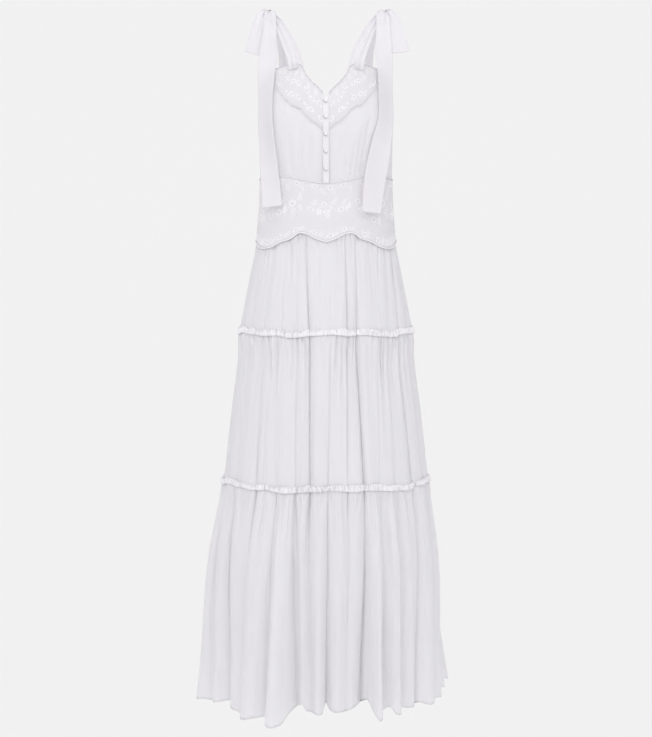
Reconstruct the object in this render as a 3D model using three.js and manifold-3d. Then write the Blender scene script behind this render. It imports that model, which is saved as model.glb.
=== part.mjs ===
// Maxi dress with tied ribbon shoulders, a buttoned V bodice, a deep shaped waistband
// and a gathered skirt of three tiers, filled out as worn, with no wearer.
// Millimetres, +Z up, the front faces -Y. Left and right are the wearer's, so left is +X.
// The origin lies midway between the two shoulders that carry the dress.
// A turn is an angle in degrees round the body: 0 at the front centre, 90 at the left side.

import * as THREE from "three";
import { mergeVertices } from "three/addons/utils/BufferGeometryUtils.js";
import Module from "manifold-3d";

const wasm = await Module();
wasm.setup();

// Cloth and seams
const panelCloth = 1.5;
const ribbonCloth = 1.2;
const trimCloth = 1.0;
const seamGap = 0.3;
const mitreLimit = 3;

// Heights
const frill1Height = -626;
const frill2Height = -924;
const hemHeight = -1360;
const hemRise = 8;
const deepestGroove = 128;

// Bodice and waistband sections: half width, and how far the front and the back stand out.
const BODICE_SECTIONS = [
  { z: -60, halfWidth: 116, front: 78, back: 72 },
  { z: -110, halfWidth: 121, front: 90, back: 80 },
  { z: -165, halfWidth: 129, front: 106, back: 88 },
  { z: -205, halfWidth: 132.5, front: 112, back: 92 },
  { z: -260, halfWidth: 132.5, front: 106, back: 92 },
  { z: -330, halfWidth: 132, front: 98, back: 91 },
  { z: -390, halfWidth: 134.5, front: 99, back: 94 },
  { z: -450, halfWidth: 141, front: 105, back: 101 },
  { z: -488, halfWidth: 149, front: 117, back: 113 },
];

// Skirt sections along the outermost folds: half width, and how far front and back stand out.
const SKIRT_SECTIONS = [
  { z: -390, halfWidth: 134.5, front: 99, back: 94 },
  { z: -450, halfWidth: 141, front: 105, back: 101 },
  { z: -488, halfWidth: 149, front: 117, back: 113 },
  { z: -536, halfWidth: 158, front: 130, back: 126 },
  { z: -584, halfWidth: 167, front: 141, back: 137 },
  { z: -626, halfWidth: 174, front: 150, back: 146 },
  { z: -680, halfWidth: 178, front: 158, back: 154 },
  { z: -752, halfWidth: 187, front: 168, back: 164 },
  { z: -848, halfWidth: 198, front: 180, back: 176 },
  { z: -924, halfWidth: 207, front: 190, back: 186 },
  { z: -968, halfWidth: 217, front: 200, back: 196 },
  { z: -1016, halfWidth: 227, front: 209, back: 205 },
  { z: -1064, halfWidth: 236, front: 216, back: 212 },
  { z: -1160, halfWidth: 246, front: 224, back: 220 },
  { z: -1256, halfWidth: 252, front: 227, back: 224 },
  { z: -1360, halfWidth: 262, front: 230, back: 228 },
];

// Edges of the bodice and the waistband by turn, the same on both sides.
const FRONT_TOP = [
  { turn: 0, z: -165 },
  { turn: 3.75, z: -153 },
  { turn: 7.5, z: -144 },
  { turn: 11.25, z: -137 },
  { turn: 15, z: -128 },
  { turn: 18.75, z: -118 },
  { turn: 21.5, z: -108 },
  { turn: 36.5, z: -100 },
  { turn: 48.75, z: -104 },
  { turn: 60, z: -110 },
  { turn: 71.25, z: -132 },
  { turn: 82.5, z: -168 },
  { turn: 90, z: -190 },
];
const BACK_TOP = [
  { turn: 90, z: -190 },
  { turn: 105, z: -178 },
  { turn: 125, z: -172 },
  { turn: 180, z: -172 },
];
const WAIST_LINE = [
  { turn: 0, z: -331 },
  { turn: 20, z: -324 },
  { turn: 34, z: -317 },
  { turn: 60, z: -318 },
  { turn: 90, z: -320 },
  { turn: 180, z: -322 },
];
const BAND_FOOT = [
  { turn: 0, z: -444 },
  { turn: 7.5, z: -438 },
  { turn: 15, z: -429 },
  { turn: 22.5, z: -427 },
  { turn: 30, z: -438 },
  { turn: 37.5, z: -443 },
  { turn: 48.75, z: -454 },
  { turn: 63.75, z: -456 },
  { turn: 78.75, z: -446 },
  { turn: 90, z: -441 },
  { turn: 101.25, z: -446 },
  { turn: 116.25, z: -456 },
  { turn: 131.25, z: -454 },
  { turn: 142.5, z: -443 },
  { turn: 157.5, z: -427 },
  { turn: 165, z: -429 },
  { turn: 172.5, z: -438 },
  { turn: 180, z: -444 },
];
const LACE_FOOT = [
  { turn: 2, z: -226 },
  { turn: 6.4, z: -216 },
  { turn: 10.7, z: -210 },
  { turn: 15, z: -203 },
  { turn: 18.7, z: -192 },
  { turn: 25, z: -181 },
  { turn: 31, z: -177 },
  { turn: 39.5, z: -160 },
  { turn: 50, z: -142 },
  { turn: 60, z: -124 },
];

// Grooves of the skirt's folds from the right side seam across the front. The turn of each
// groove is given at the waistband, the two frill seams and the hem. "in" is how deep the groove
// lies inside the section and "out" how far the fold that follows it stays inside, at the last three.
const FRONT_FOLDS = [
  { band: -90, seam1: -90, seam2: -90, hem: -90, in1: 9, in2: 13, inHem: 24, out1: 0, out2: 0, outHem: 0 },
  { band: -76, seam1: -75, seam2: -76, hem: -80, in1: 8, in2: 12, inHem: 26, out1: 0, out2: 0, outHem: 28 },
  { band: -63, seam1: -60, seam2: -61, hem: -69, in1: 9, in2: 13, inHem: 84, out1: 0, out2: 0, outHem: 46 },
  { band: -47, seam1: -45, seam2: -42, hem: -50, in1: 8, in2: 12, inHem: 66, out1: 0, out2: 2, outHem: 24 },
  { band: -34, seam1: -30, seam2: -27, hem: -30, in1: 8, in2: 10, inHem: 84, out1: 0, out2: 0, outHem: -8 },
  { band: -24, seam1: -19, seam2: -17, hem: -18, in1: 7, in2: 12, inHem: 92, out1: 2, out2: 4, outHem: 76 },
  { band: -17, seam1: -11, seam2: -9, hem: -11, in1: 15, in2: 22, inHem: 128, out1: 0, out2: 0, outHem: 72 },
  { band: 5, seam1: 3, seam2: 1, hem: 0, in1: 8, in2: 16, inHem: 128, out1: 0, out2: 2, outHem: 80 },
  { band: 16, seam1: 14, seam2: 12, hem: 12, in1: 12, in2: 11, inHem: 128, out1: 9, out2: 4, outHem: 82 },
  { band: 25, seam1: 21, seam2: 22, hem: 22, in1: 15, in2: 22, inHem: 106, out1: 0, out2: 0, outHem: 18 },
  { band: 42, seam1: 36, seam2: 31, hem: 30, in1: 10, in2: 12, inHem: 92, out1: 0, out2: 0, outHem: 40 },
  { band: 54, seam1: 44, seam2: 42, hem: 47, in1: 10, in2: 12, inHem: 104, out1: 0, out2: 2, outHem: 58 },
  { band: 67, seam1: 56, seam2: 58, hem: 64, in1: 11, in2: 15, inHem: 76, out1: 0, out2: 0, outHem: 34 },
  { band: 79, seam1: 73, seam2: 74, hem: 78, in1: 9, in2: 13, inHem: 58, out1: 0, out2: 0, outHem: 28 },
];
const sideFold = { in1: 9, in2: 13, inHem: 52, out1: 0, out2: 0, outHem: 26 };
const backFoldCount = 13;
const rearWingFold = 2;
const rearWing = 55;
const topGather = 2.5;
const bandTuck = 5;
const bandTuckInward = panelCloth + 1;

// Where the columns of a fold lie between two grooves, and how much of the fold's height they reach.
const FOLD_COLUMNS = [
  { along: 0, height: 0 },
  { along: 0.2, height: 0.76 },
  { along: 0.5, height: 1 },
  { along: 0.8, height: 0.76 },
];

// Ribbons: each row is a line across the ribbon, its middle, width and turn towards the back.
const RIBBONS = {
  right_long_tail: [
    { x: -113, y: -13, z: 2, width: 16, yaw: 6 },
    { x: -111.5, y: -35, z: -22, width: 25, yaw: 4 },
    { x: -114.7, y: -44, z: -74, width: 38, yaw: 6 },
    { x: -116.7, y: -51, z: -114, width: 38, yaw: 28 },
    { x: -118.6, y: -58, z: -165, width: 38, yaw: 41 },
    { x: -118.6, y: -63, z: -205, width: 38, yaw: 41 },
    { x: -115.3, y: -66, z: -253, width: 38, yaw: 34 },
    { x: -111, y: -71, z: -302, width: 38, yaw: 20 },
    { x: -107, y: -80, z: -351, width: 38, yaw: 10 },
    { x: -105, y: -84, z: -376, width: 39, yaw: 8 },
  ],
  left_long_tail: [
    { x: 113, y: -13, z: 2, width: 16, yaw: 6 },
    { x: 113, y: -35, z: -22, width: 27, yaw: 4 },
    { x: 114.7, y: -44, z: -74, width: 38, yaw: 27 },
    { x: 116, y: -51, z: -114, width: 38, yaw: 38 },
    { x: 117, y: -58, z: -158, width: 38, yaw: 42 },
    { x: 117.5, y: -65, z: -204, width: 38, yaw: 36 },
    { x: 107.4, y: -82, z: -257, width: 41, yaw: 16 },
    { x: 102.5, y: -85, z: -284, width: 43, yaw: 10 },
    { x: 96.5, y: -90, z: -315, width: 43, yaw: 8 },
    { x: 88.6, y: -98, z: -388, width: 38, yaw: 12 },
  ],
  right_short_tail: [
    { x: -120, y: -6, z: 4, width: 12, yaw: 20 },
    { x: -131, y: -8, z: -4, width: 16, yaw: 20 },
    { x: -136.5, y: -10, z: -32, width: 26, yaw: 12 },
    { x: -143, y: -11, z: -62, width: 36, yaw: 8 },
  ],
  left_short_tail: [
    { x: 120, y: -6, z: 4, width: 12, yaw: 20 },
    { x: 135, y: -8, z: -4, width: 16, yaw: 20 },
    { x: 142, y: -10, z: -32, width: 25, yaw: 26 },
    { x: 146, y: -11, z: -62, width: 34, yaw: 38 },
  ],
};

// Shoulder straps: middles of the lines across, from the bodice edge up to the knot.
const FRONT_STRAP = [
  { x: 62, y: -81, z: -86, width: 27 },
  { x: 70, y: -67, z: -64, width: 27 },
  { x: 79, y: -49, z: -43, width: 23 },
  { x: 88, y: -31, z: -24, width: 19 },
  { x: 98, y: -14, z: -7, width: 16 },
  { x: 109, y: -5, z: 3, width: 14 },
];
const BACK_STRAP = [
  { x: 88, y: 70, z: -132, width: 27 },
  { x: 90, y: 59, z: -92, width: 24 },
  { x: 94, y: 43, z: -52, width: 20 },
  { x: 102, y: 22, z: -16, width: 17 },
  { x: 111, y: 4, z: 2, width: 14 },
];
const frontStrapColumns = { from: 6, to: 10 };
const backStrapTurns = { from: 128, to: 143, lines: 5 };
const strapPleat = 1.6;
const tailPleat = 0.6;
const strapSeat = 0.75;

// Knots
const knot = { x: 115, y: -5, z: 7, halfWidth: 14.5, halfDepth: 13, halfHeight: 11 };
const knotGap = 0.4;
const knotWrap = 0.1;
const knotLobes = 3;

// Placket and buttons
const placketTurn = 2.6;
const BUTTON_HEIGHTS = [-171, -202, -235, -268, -302];
const buttonRadius = 4;
const buttonFlatness = 0.8;

// Bodice gathers above the waist
const gatherColumns = { from: 3, to: 13 };
const gatherHeight = 1.3;
const gatherReach = 0.6;
const FRONT_COLUMN_COUNT = 25;

const degree = Math.PI / 180;

// A value of a table's column at a place, between the two rows around it.
function readTable(rows, key, place, column) {
  const rising = rows[rows.length - 1][key] > rows[0][key];
  const along = (row) => (rising ? row[key] : -row[key]);
  const wanted = rising ? place : -place;
  let i = 0;
  while (i < rows.length - 2 && along(rows[i + 1]) < wanted) i += 1;
  const share = (wanted - along(rows[i])) / (along(rows[i + 1]) - along(rows[i]));
  const clamped = Math.min(1, Math.max(0, share));
  return rows[i][column] + (rows[i + 1][column] - rows[i][column]) * clamped;
}

const mix = (a, b, share) => a + (b - a) * share;

// A point on the garment at a turn and height, "lift" mm outside the section.
function sectionPoint(sections, turn, z, lift) {
  const a = readTable(sections, "z", z, "halfWidth");
  const side = Math.cos(turn * degree) > 0 ? "front" : "back";
  const b = readTable(sections, "z", z, side);
  const sine = Math.sin(turn * degree);
  const cosine = Math.cos(turn * degree);
  const length = Math.hypot(sine / a, cosine / b);
  const x = a * sine + (lift * sine) / a / length;
  const y = -b * cosine - (lift * cosine) / b / length;
  return new THREE.Vector3(x, y, z);
}

// The line parallel to a row of points, level with it and "distance" mm outside it.
// At the ends of an open row the line moves along endOut[0] and endOut[1].
function parallel(row, distance, ring, endOut) {
  const count = row.length;
  const outwards = (from, to) => {
    const dx = to.x - from.x;
    const dy = to.y - from.y;
    const length = Math.hypot(dx, dy);
    return new THREE.Vector2(dy / length, -dx / length);
  };
  return row.map((point, i) => {
    const first = !ring && i === 0;
    const last = !ring && i === count - 1;
    const before = first ? null : outwards(row[(i + count - 1) % count], point);
    const after = last ? null : outwards(point, row[(i + 1) % count]);
    let along = null;
    if (first) along = endOut[0].clone();
    else if (last) along = endOut[1].clone();
    else along = before.clone().add(after).normalize();
    const facing = along.dot(first ? after : before);
    const step = distance * Math.min(mitreLimit, 1 / Math.max(facing, 0.05));
    return new THREE.Vector3(point.x + along.x * step, point.y + along.y * step, point.z);
  });
}

// A closed wall between two grids of points with the same rows and columns.
function wall(outerRows, innerRows, ring) {
  const rowCount = outerRows.length;
  const columnCount = outerRows[0].length;
  const points = [...outerRows.flat(), ...innerRows.flat()];
  const half = rowCount * columnCount;
  const faces = [];
  const at = (r, c) => r * columnCount + (c % columnCount);
  const lastColumn = ring ? columnCount : columnCount - 1;
  for (let r = 0; r < rowCount - 1; r += 1) {
    for (let c = 0; c < lastColumn; c += 1) {
      const a = at(r, c);
      const b = at(r, c + 1);
      const d = at(r + 1, c + 1);
      const e = at(r + 1, c);
      faces.push([a, b, d], [a, d, e]);
      faces.push([a + half, d + half, b + half], [a + half, e + half, d + half]);
      if (r === 0) faces.push([b, a, a + half], [b, a + half, b + half]);
      if (r === rowCount - 2) faces.push([e, d, d + half], [e, d + half, e + half]);
      if (!ring && c === 0) faces.push([a, e, e + half], [a, e + half, a + half]);
      if (!ring && c === lastColumn - 1) faces.push([d, b, b + half], [d, b + half, d + half]);
    }
  }
  return closedGeometry(points, faces);
}

// A geometry whose faces point out, whichever way round the points ran.
function closedGeometry(points, faces) {
  let volume = 0;
  for (const [a, b, c] of faces) {
    volume += points[a].dot(points[b].clone().cross(points[c])) / 6;
  }
  const outward = volume > 0 ? faces : faces.map(([a, b, c]) => [a, c, b]);
  const geometry = new THREE.BufferGeometry();
  geometry.setFromPoints(points);
  geometry.setIndex(outward.flat());
  return geometry;
}

// A wall half this side and half that side of a grid of middle points, as a ribbon has.
function sheet(rows, thickness) {
  const rowCount = rows.length;
  const columnCount = rows[0].length;
  const offset = (sign) =>
    rows.map((row, r) =>
      row.map((point, c) => {
        const down = rows[Math.min(r + 1, rowCount - 1)][c].clone();
        down.sub(rows[Math.max(r - 1, 0)][c]);
        const across = row[Math.min(c + 1, columnCount - 1)].clone();
        across.sub(row[Math.max(c - 1, 0)]);
        const out = across.cross(down).normalize();
        return point.clone().addScaledVector(out, (sign * thickness) / 2);
      }),
    );
  return wall(offset(1), offset(-1), false);
}

function toSolid(geometry) {
  const bare = geometry.clone();
  bare.deleteAttribute("normal");
  bare.deleteAttribute("uv");
  const merged = mergeVertices(bare);
  return new wasm.Manifold(
    new wasm.Mesh({
      numProp: 3,
      vertProperties: new Float32Array(merged.attributes.position.array),
      triVerts: new Uint32Array(merged.index.array),
    }),
  );
}

function toGeometry(solid) {
  const mesh = solid.getMesh();
  const geometry = new THREE.BufferGeometry();
  geometry.setAttribute("position", new THREE.BufferAttribute(mesh.vertProperties, 3));
  geometry.setIndex(new THREE.BufferAttribute(mesh.triVerts, 1));
  return geometry;
}

// A geometry with another, slightly larger one cut out of it.
function cutAway(geometry, tool) {
  return toGeometry(toSolid(geometry).subtract(toSolid(tool)));
}

// Materials
const cotton = { color: 0xf0efed, roughness: 0.9, metalness: 0 };
const ribbonFinish = { color: 0xefeef3, roughness: 0.75, metalness: 0 };
const laceFinish = { color: 0xf3f2f0, roughness: 0.85, metalness: 0 };
const buttonFinish = { color: 0xf4f3f0, roughness: 0.5, metalness: 0 };

const group = new THREE.Group();

function addPiece(name, geometry, finish) {
  const mesh = new THREE.Mesh(geometry, new THREE.MeshStandardMaterial(finish));
  mesh.name = name;
  group.add(mesh);
  return mesh;
}

// Bodice fronts: a half panel from the front centre to the side seam, mirrored by "side".
const frontTurns = [0, placketTurn];
const gatherPitch = (90 - 6) / (FRONT_COLUMN_COUNT - 3);
for (let i = 0; i < FRONT_COLUMN_COUNT - 2; i += 1) frontTurns.push(6 + i * gatherPitch);

// Rows of the panel, from the waist up: three below the lace's foot, that foot and two above.
const PANEL_ROWS = [
  { below: 0, above: 0 },
  { below: 0.2, above: 0 },
  { below: 0.5, above: 0 },
  { below: 1, above: 0 },
  { below: 1, above: 0.5 },
  { below: 1, above: 1 },
];
const laceFootRow = 3;
const highestLaceFoot = 0.9;

function frontPanelRows(side) {
  return PANEL_ROWS.map(({ below, above }) =>
    frontTurns.map((turn, i) => {
      const foot = readTable(WAIST_LINE, "turn", turn, "z");
      const top = readTable(FRONT_TOP, "turn", turn, "z");
      const laceFoot = (readTable(LACE_FOOT, "turn", turn, "z") - foot) / (top - foot);
      const share = mix(Math.min(laceFoot, highestLaceFoot) * below, 1, above);
      const gathered = i >= gatherColumns.from && i <= gatherColumns.to;
      const raised = gathered && i % 2 === 0 ? gatherHeight : 0;
      const lift = raised * Math.max(0, 1 - share / gatherReach);
      const point = sectionPoint(BODICE_SECTIONS, turn, mix(foot, top, share), lift);
      if (i === 0) point.x = seamGap / 2;
      if (i === frontTurns.length - 1) point.y = -seamGap / 2;
      point.x *= side;
      return point;
    }),
  );
}

const frontEndOut = (side) => [new THREE.Vector2(0, -1), new THREE.Vector2(side, 0)];

// Inner or outer lines of a panel: rows run from the centre to the side, so for the
// right half the outward side of a row is the other way round.
function offsetRows(rows, distance, side, endOut) {
  return rows.map((row) => {
    if (side > 0) return parallel(row, distance, false, endOut);
    const reversed = [...row].reverse();
    const ends = [endOut[1], endOut[0]];
    return parallel(reversed, distance, false, ends).reverse();
  });
}

const panelRows = { 1: frontPanelRows(1), "-1": frontPanelRows(-1) };

for (const side of [1, -1]) {
  const rows = panelRows[side];
  const inner = offsetRows(rows, -panelCloth, side, frontEndOut(side));
  addPiece(side > 0 ? "bodice_front_left" : "bodice_front_right", wall(rows, inner, false), cotton);
}

// Bodice back: from the right side seam round to the left one.
const BACK_COLUMN_COUNT = 29;
const backTurns = [];
for (let i = 0; i < BACK_COLUMN_COUNT; i += 1) backTurns.push(mix(90, 270, i / (BACK_COLUMN_COUNT - 1)));
const halfTurn = (turn) => (turn > 180 ? 360 - turn : Math.abs(turn));
const BACK_ROWS = [0, 0.33, 0.66, 1];
const sideOut = [new THREE.Vector2(1, 0), new THREE.Vector2(-1, 0)];

// Rows of a piece that runs round the back, or round the front when turns are -90 to 90.
function roundRows(sections, turns, shares, footAt, topAt) {
  return shares.map((share) =>
    turns.map((turn, i) => {
      const z = mix(footAt(turn), topAt(turn), share);
      const point = sectionPoint(sections, turn, z, 0);
      const behind = turns[Math.floor(turns.length / 2)] > 90;
      const atEnd = i === 0 || i === turns.length - 1;
      if (atEnd) point.y = behind ? seamGap / 2 : -seamGap / 2;
      return point;
    }),
  );
}

function edge(table, drop) {
  return (turn) => readTable(table, "turn", halfTurn(turn), "z") - drop;
}

function addRoundWall(name, rows, behind, thickness, finish) {
  const ends = behind ? sideOut : [sideOut[1], sideOut[0]];
  const inner = rows.map((row) => parallel(row, -thickness, false, ends));
  addPiece(name, wall(rows, inner, false), finish);
  return inner;
}

const backRows = roundRows(
  BODICE_SECTIONS, backTurns, BACK_ROWS, edge(WAIST_LINE, 0), edge(BACK_TOP, 0));
addRoundWall("bodice_back", backRows, true, panelCloth, cotton);

// Waistband front and back, with a scalloped foot.
const BAND_ROWS = [0, 0.5, 1];
const bandFrontTurns = [...frontTurns.slice(1).reverse().map((turn) => -turn), ...frontTurns];
for (const [name, turns, behind] of [
  ["waistband_front", bandFrontTurns, false],
  ["waistband_back", backTurns, true],
]) {
  const rows = roundRows(
    BODICE_SECTIONS, turns, BAND_ROWS, edge(BAND_FOOT, 0), edge(WAIST_LINE, seamGap));
  addRoundWall(name, rows, behind, panelCloth, laceFinish);
}

// Lace yoke laid on the bodice front, from the panel's own points moved out.
const laceColumns = { from: 1, to: 16 };
const laceStart = 0.14;
const laceMiddle = -140;

function laceLine(row) {
  const line = row.slice(laceColumns.from, laceColumns.to + 1).map((point) => point.clone());
  line[0].lerp(line[1], laceStart);
  return line;
}

for (const side of [1, -1]) {
  const rows = panelRows[side].slice(laceFootRow).map(laceLine);
  const last = laceColumns.to;
  const outAt = (turn) => {
    const near = sectionPoint(BODICE_SECTIONS, turn, laceMiddle, 0);
    const far = sectionPoint(BODICE_SECTIONS, turn, laceMiddle, 1);
    return new THREE.Vector2((far.x - near.x) * side, far.y - near.y);
  };
  const ends = [outAt(frontTurns[1]), outAt(frontTurns[last])];
  const inner = offsetRows(rows, seamGap, side, ends);
  const outer = offsetRows(rows, seamGap + trimCloth, side, ends);
  addPiece(side > 0 ? "lace_yoke_left" : "lace_yoke_right", wall(outer, inner, false), laceFinish);
}

// Button placket over the join of the two fronts.
const placketRows = panelRows[1].map((row, r) => {
  const middle = row[0].clone().setX(0);
  return [panelRows[-1][r][1].clone(), middle, row[1].clone()];
});
const placketOut = (side) =>
  new THREE.Vector2(side * Math.sin(placketTurn * degree), -Math.cos(placketTurn * degree));
const placketEnds = [placketOut(-1), placketOut(1)];
const placketInner = placketRows.map((row) => parallel(row, seamGap, false, placketEnds));
const placketOuter = placketRows.map((row) => parallel(row, seamGap + ribbonCloth, false, placketEnds));
addPiece("placket", wall(placketOuter, placketInner, false), cotton);

// How far forward the middle of the placket lies at a height.
function placketFront(height) {
  const middles = placketOuter.map((row) => ({ z: row[1].z, y: row[1].y }));
  return readTable(middles, "z", height, "y");
}

// Ball buttons, a little flattened, down the placket.
BUTTON_HEIGHTS.forEach((height, i) => {
  const ball = new THREE.SphereGeometry(buttonRadius, 12, 8);
  ball.scale(1, buttonFlatness, 1);
  const button = addPiece(`button_${i + 1}`, ball, buttonFinish);
  button.position.set(0, placketFront(height) - seamGap - buttonRadius * buttonFlatness, height);
});

// Skirt folds: the grooves all round, in order of turn.
const uneven = (i, k) => Math.sin(i * 2.4 + k * 1.7);

function allFolds() {
  const backFolds = [];
  for (let i = 0; i < backFoldCount; i += 1) {
    const turn = 90 + (i * 180) / backFoldCount;
    const sway = i === 0 ? 0 : 2.5;
    const fold = {
      band: turn + sway * uneven(i, 0),
      seam1: turn + sway * uneven(i, 0.4),
      seam2: turn + sway * uneven(i, 0.9),
      hem: turn + sway * uneven(i, 1.4),
      in1: 9 + 2 * uneven(i, 1),
      in2: 14 + 4 * uneven(i, 2),
      inHem: 58 + 12 * uneven(i, 3),
      out1: 0,
      out2: 1 + uneven(i, 4),
      outHem: 8 + 7 * uneven(i, 5),
    };
    if (i === 0) Object.assign(fold, sideFold);
    if (i === rearWingFold) fold.outHem = -rearWing;
    backFolds.push(fold);
  }
  return [...FRONT_FOLDS, ...backFolds];
}

const folds = allFolds();
const columnsPerFold = FOLD_COLUMNS.length;
const sideColumn = folds.findIndex((fold) => fold.band === 90) * columnsPerFold;
const columnTotal = folds.length * columnsPerFold;

// Turn and inward offset of one skirt column at one level.
const LEVELS = {
  band: { turn: "band", groove: null },
  seam1: { turn: "seam1", groove: "in1", crest: "out1" },
  seam2: { turn: "seam2", groove: "in2", crest: "out2" },
  hem: { turn: "hem", groove: "inHem", crest: "outHem" },
};

function columnAt(levelName, column) {
  const level = LEVELS[levelName];
  const index = Math.floor(column / columnsPerFold) % folds.length;
  const step = FOLD_COLUMNS[column % columnsPerFold];
  const fold = folds[index];
  const next = folds[(index + 1) % folds.length];
  const nextTurn = next[level.turn] + (next[level.turn] < fold[level.turn] ? 360 : 0);
  const turn = mix(fold[level.turn], nextTurn, step.along);
  if (!level.groove) return { turn, inward: bandTuckInward + topGather * (1 - step.height) };
  const floor = mix(fold[level.groove], next[level.groove], step.along);
  return { turn, inward: mix(floor, fold[level.crest], step.height) };
}

// Tiers: each runs from one level down to the next, between the section rows of its height.
const TIERS = [
  { name: "tier_1", from: "band", to: "seam1", top: null, foot: frill1Height },
  { name: "tier_2", from: "seam1", to: "seam2", top: frill1Height, foot: frill2Height },
  { name: "tier_3", from: "seam2", to: "hem", top: frill2Height, foot: hemHeight },
];
const TIER_ROWS = {
  tier_1: [0, 0.12, 0.4, 0.7, 1],
  tier_2: [0, 0.1, 0.36, 0.68, 1],
  tier_3: [0, 0.1, 0.3, 0.54, 0.77, 1],
};

function tierPoint(tier, column, share) {
  const above = columnAt(tier.from, column);
  const below = columnAt(tier.to, column);
  const turn = mix(above.turn, below.turn, share);
  const inward = mix(above.inward, below.inward, share);
  const signed = ((turn + 180) % 360) - 180;
  const top = tier.top === null ? edge(BAND_FOOT, -bandTuck)(halfTurn(signed)) : tier.top - seamGap;
  const rise = tier.to === "hem" ? hemRise * Math.max(0, inward / deepestGroove) * share ** 3 : 0;
  const z = mix(top, tier.foot, share) + rise;
  return sectionPoint(SKIRT_SECTIONS, turn, z, -inward);
}

function tierRows(tier, from, to, behind) {
  return TIER_ROWS[tier.name].map((share) => {
    const row = [];
    for (let c = from; c <= to; c += 1) {
      const point = tierPoint(tier, c, share);
      if (c === from || c === to) point.y = behind ? seamGap / 2 : -seamGap / 2;
      row.push(point);
    }
    return row;
  });
}

for (const tier of TIERS) {
  addRoundWall(`${tier.name}_front`, tierRows(tier, 0, sideColumn, false), false, panelCloth, cotton);
  addRoundWall(
    `${tier.name}_back`, tierRows(tier, sideColumn, columnTotal, true), true, panelCloth, cotton);
}

// Frills: a narrow gathered heading that stands up and out from each seam.
const frillFoot = 0.5;
const frillClear = 0.5;
const frillHeight = 10;
const frillFlare = 3.5;
const frillWave = 4.5;

function frillRows(tier) {
  const footLine = [];
  for (let c = 0; c < columnTotal; c += 1) footLine.push(tierPoint(tier, c, 0));
  const base = parallel(footLine, frillClear + ribbonCloth, true, null);
  const topLine = base.map((point, c) => {
    const { turn } = columnAt(tier.from, c);
    const near = sectionPoint(SKIRT_SECTIONS, turn, tier.top, 0);
    const out = sectionPoint(SKIRT_SECTIONS, turn, tier.top, 1).sub(near);
    const reach = frillFlare + (c % 2 === 0 ? 0 : frillWave);
    const top = point.clone().addScaledVector(out, reach);
    top.z += frillHeight;
    return top;
  });
  const bottomLine = base.map((point) => new THREE.Vector3(point.x, point.y, point.z - frillFoot));
  return [topLine, bottomLine];
}

TIERS.slice(1).forEach((tier, i) => {
  const outer = frillRows(tier);
  const inner = outer.map((row) => parallel(row, -ribbonCloth, true, null));
  addPiece(`frill_${i + 1}`, wall(outer, inner, true), cotton);
});

// Knots: a rounded lump with a wrap across it.
function knotGeometry(side, extra) {
  const lump = new THREE.SphereGeometry(1, 14, 9);
  const place = lump.attributes.position;
  for (let i = 0; i < place.count; i += 1) {
    const point = new THREE.Vector3().fromBufferAttribute(place, i);
    const lobe = Math.cos(knotLobes * Math.atan2(point.z, point.x));
    const wrap = 1 + knotWrap * lobe * (1 - point.y * point.y);
    place.setXYZ(
      i,
      side * knot.x + point.x * wrap * (knot.halfWidth + extra),
      knot.y + point.y * (knot.halfDepth + extra),
      knot.z + point.z * wrap * (knot.halfHeight + extra),
    );
  }
  return lump;
}

// A line of five points across a ribbon.
const ACROSS = [-0.5, -0.25, 0, 0.25, 0.5];

function ribbonLine(row, side, pleat) {
  const yaw = (row.yaw ?? 0) * degree;
  return ACROSS.map((share, i) => {
    const across = share * row.width;
    const fold = pleat * (i % 2 === 0 ? -1 : 1);
    const x = row.x + across * Math.cos(yaw);
    const y = row.y + side * across * Math.sin(yaw) + fold;
    return new THREE.Vector3(x, y, row.z);
  });
}

for (const side of [1, -1]) {
  const name = side > 0 ? "left" : "right";
  const tool = knotGeometry(side, knotGap);
  addPiece(`knot_${name}`, knotGeometry(side, 0), ribbonFinish);
  for (const kind of ["long_tail", "short_tail"]) {
    const rows = RIBBONS[`${name}_${kind}`].map((row) => ribbonLine(row, side, tailPleat));
    addPiece(`${name}_${kind}`, cutAway(sheet(rows, ribbonCloth), tool), ribbonFinish);
  }
  const panelTop = panelRows[side][PANEL_ROWS.length - 1];
  const frontBase = [];
  for (let c = frontStrapColumns.from; c <= frontStrapColumns.to; c += 1) {
    const inside = new THREE.Vector3(0, panelCloth / 2, strapSeat);
    frontBase.push(panelTop[c].clone().add(inside));
  }
  const toSide = (line) => line.map((point) => new THREE.Vector3(point.x * side, point.y, point.z));
  const frontRows = [
    frontBase,
    ...FRONT_STRAP.map((row) => toSide(ribbonLine(row, 1, strapPleat))),
  ];
  addPiece(`front_strap_${name}`, cutAway(sheet(frontRows, ribbonCloth), tool), ribbonFinish);
  const backBase = [];
  for (let i = 0; i < backStrapTurns.lines; i += 1) {
    const share = i / (backStrapTurns.lines - 1);
    const turn = mix(backStrapTurns.to, backStrapTurns.from, share);
    const z = readTable(BACK_TOP, "turn", turn, "z");
    const point = sectionPoint(BODICE_SECTIONS, turn, z, -panelCloth / 2);
    point.z += strapSeat;
    backBase.push(point);
  }
  const backStrapRows = [
    toSide(backBase),
    ...BACK_STRAP.map((row) => toSide(ribbonLine(row, 1, strapPleat))),
  ];
  addPiece(`back_strap_${name}`, cutAway(sheet(backStrapRows, ribbonCloth), tool), ribbonFinish);
}

export default group;
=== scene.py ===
# %% [markdown]
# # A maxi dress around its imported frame
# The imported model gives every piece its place: the bodice, the shaped waistband, three gathered
# tiers and the ribbons tied at the shoulders. This lesson drapes a fine cloth surface over each
# of them. Every surface is a function of two parameters worked out with numpy as whole arrays,
# because folds, scallops and gathers are easiest to steer as curves added to a plain section.
# Lengths are in millimetres until a mesh is made; +Z is up and the front faces -Y.

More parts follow.
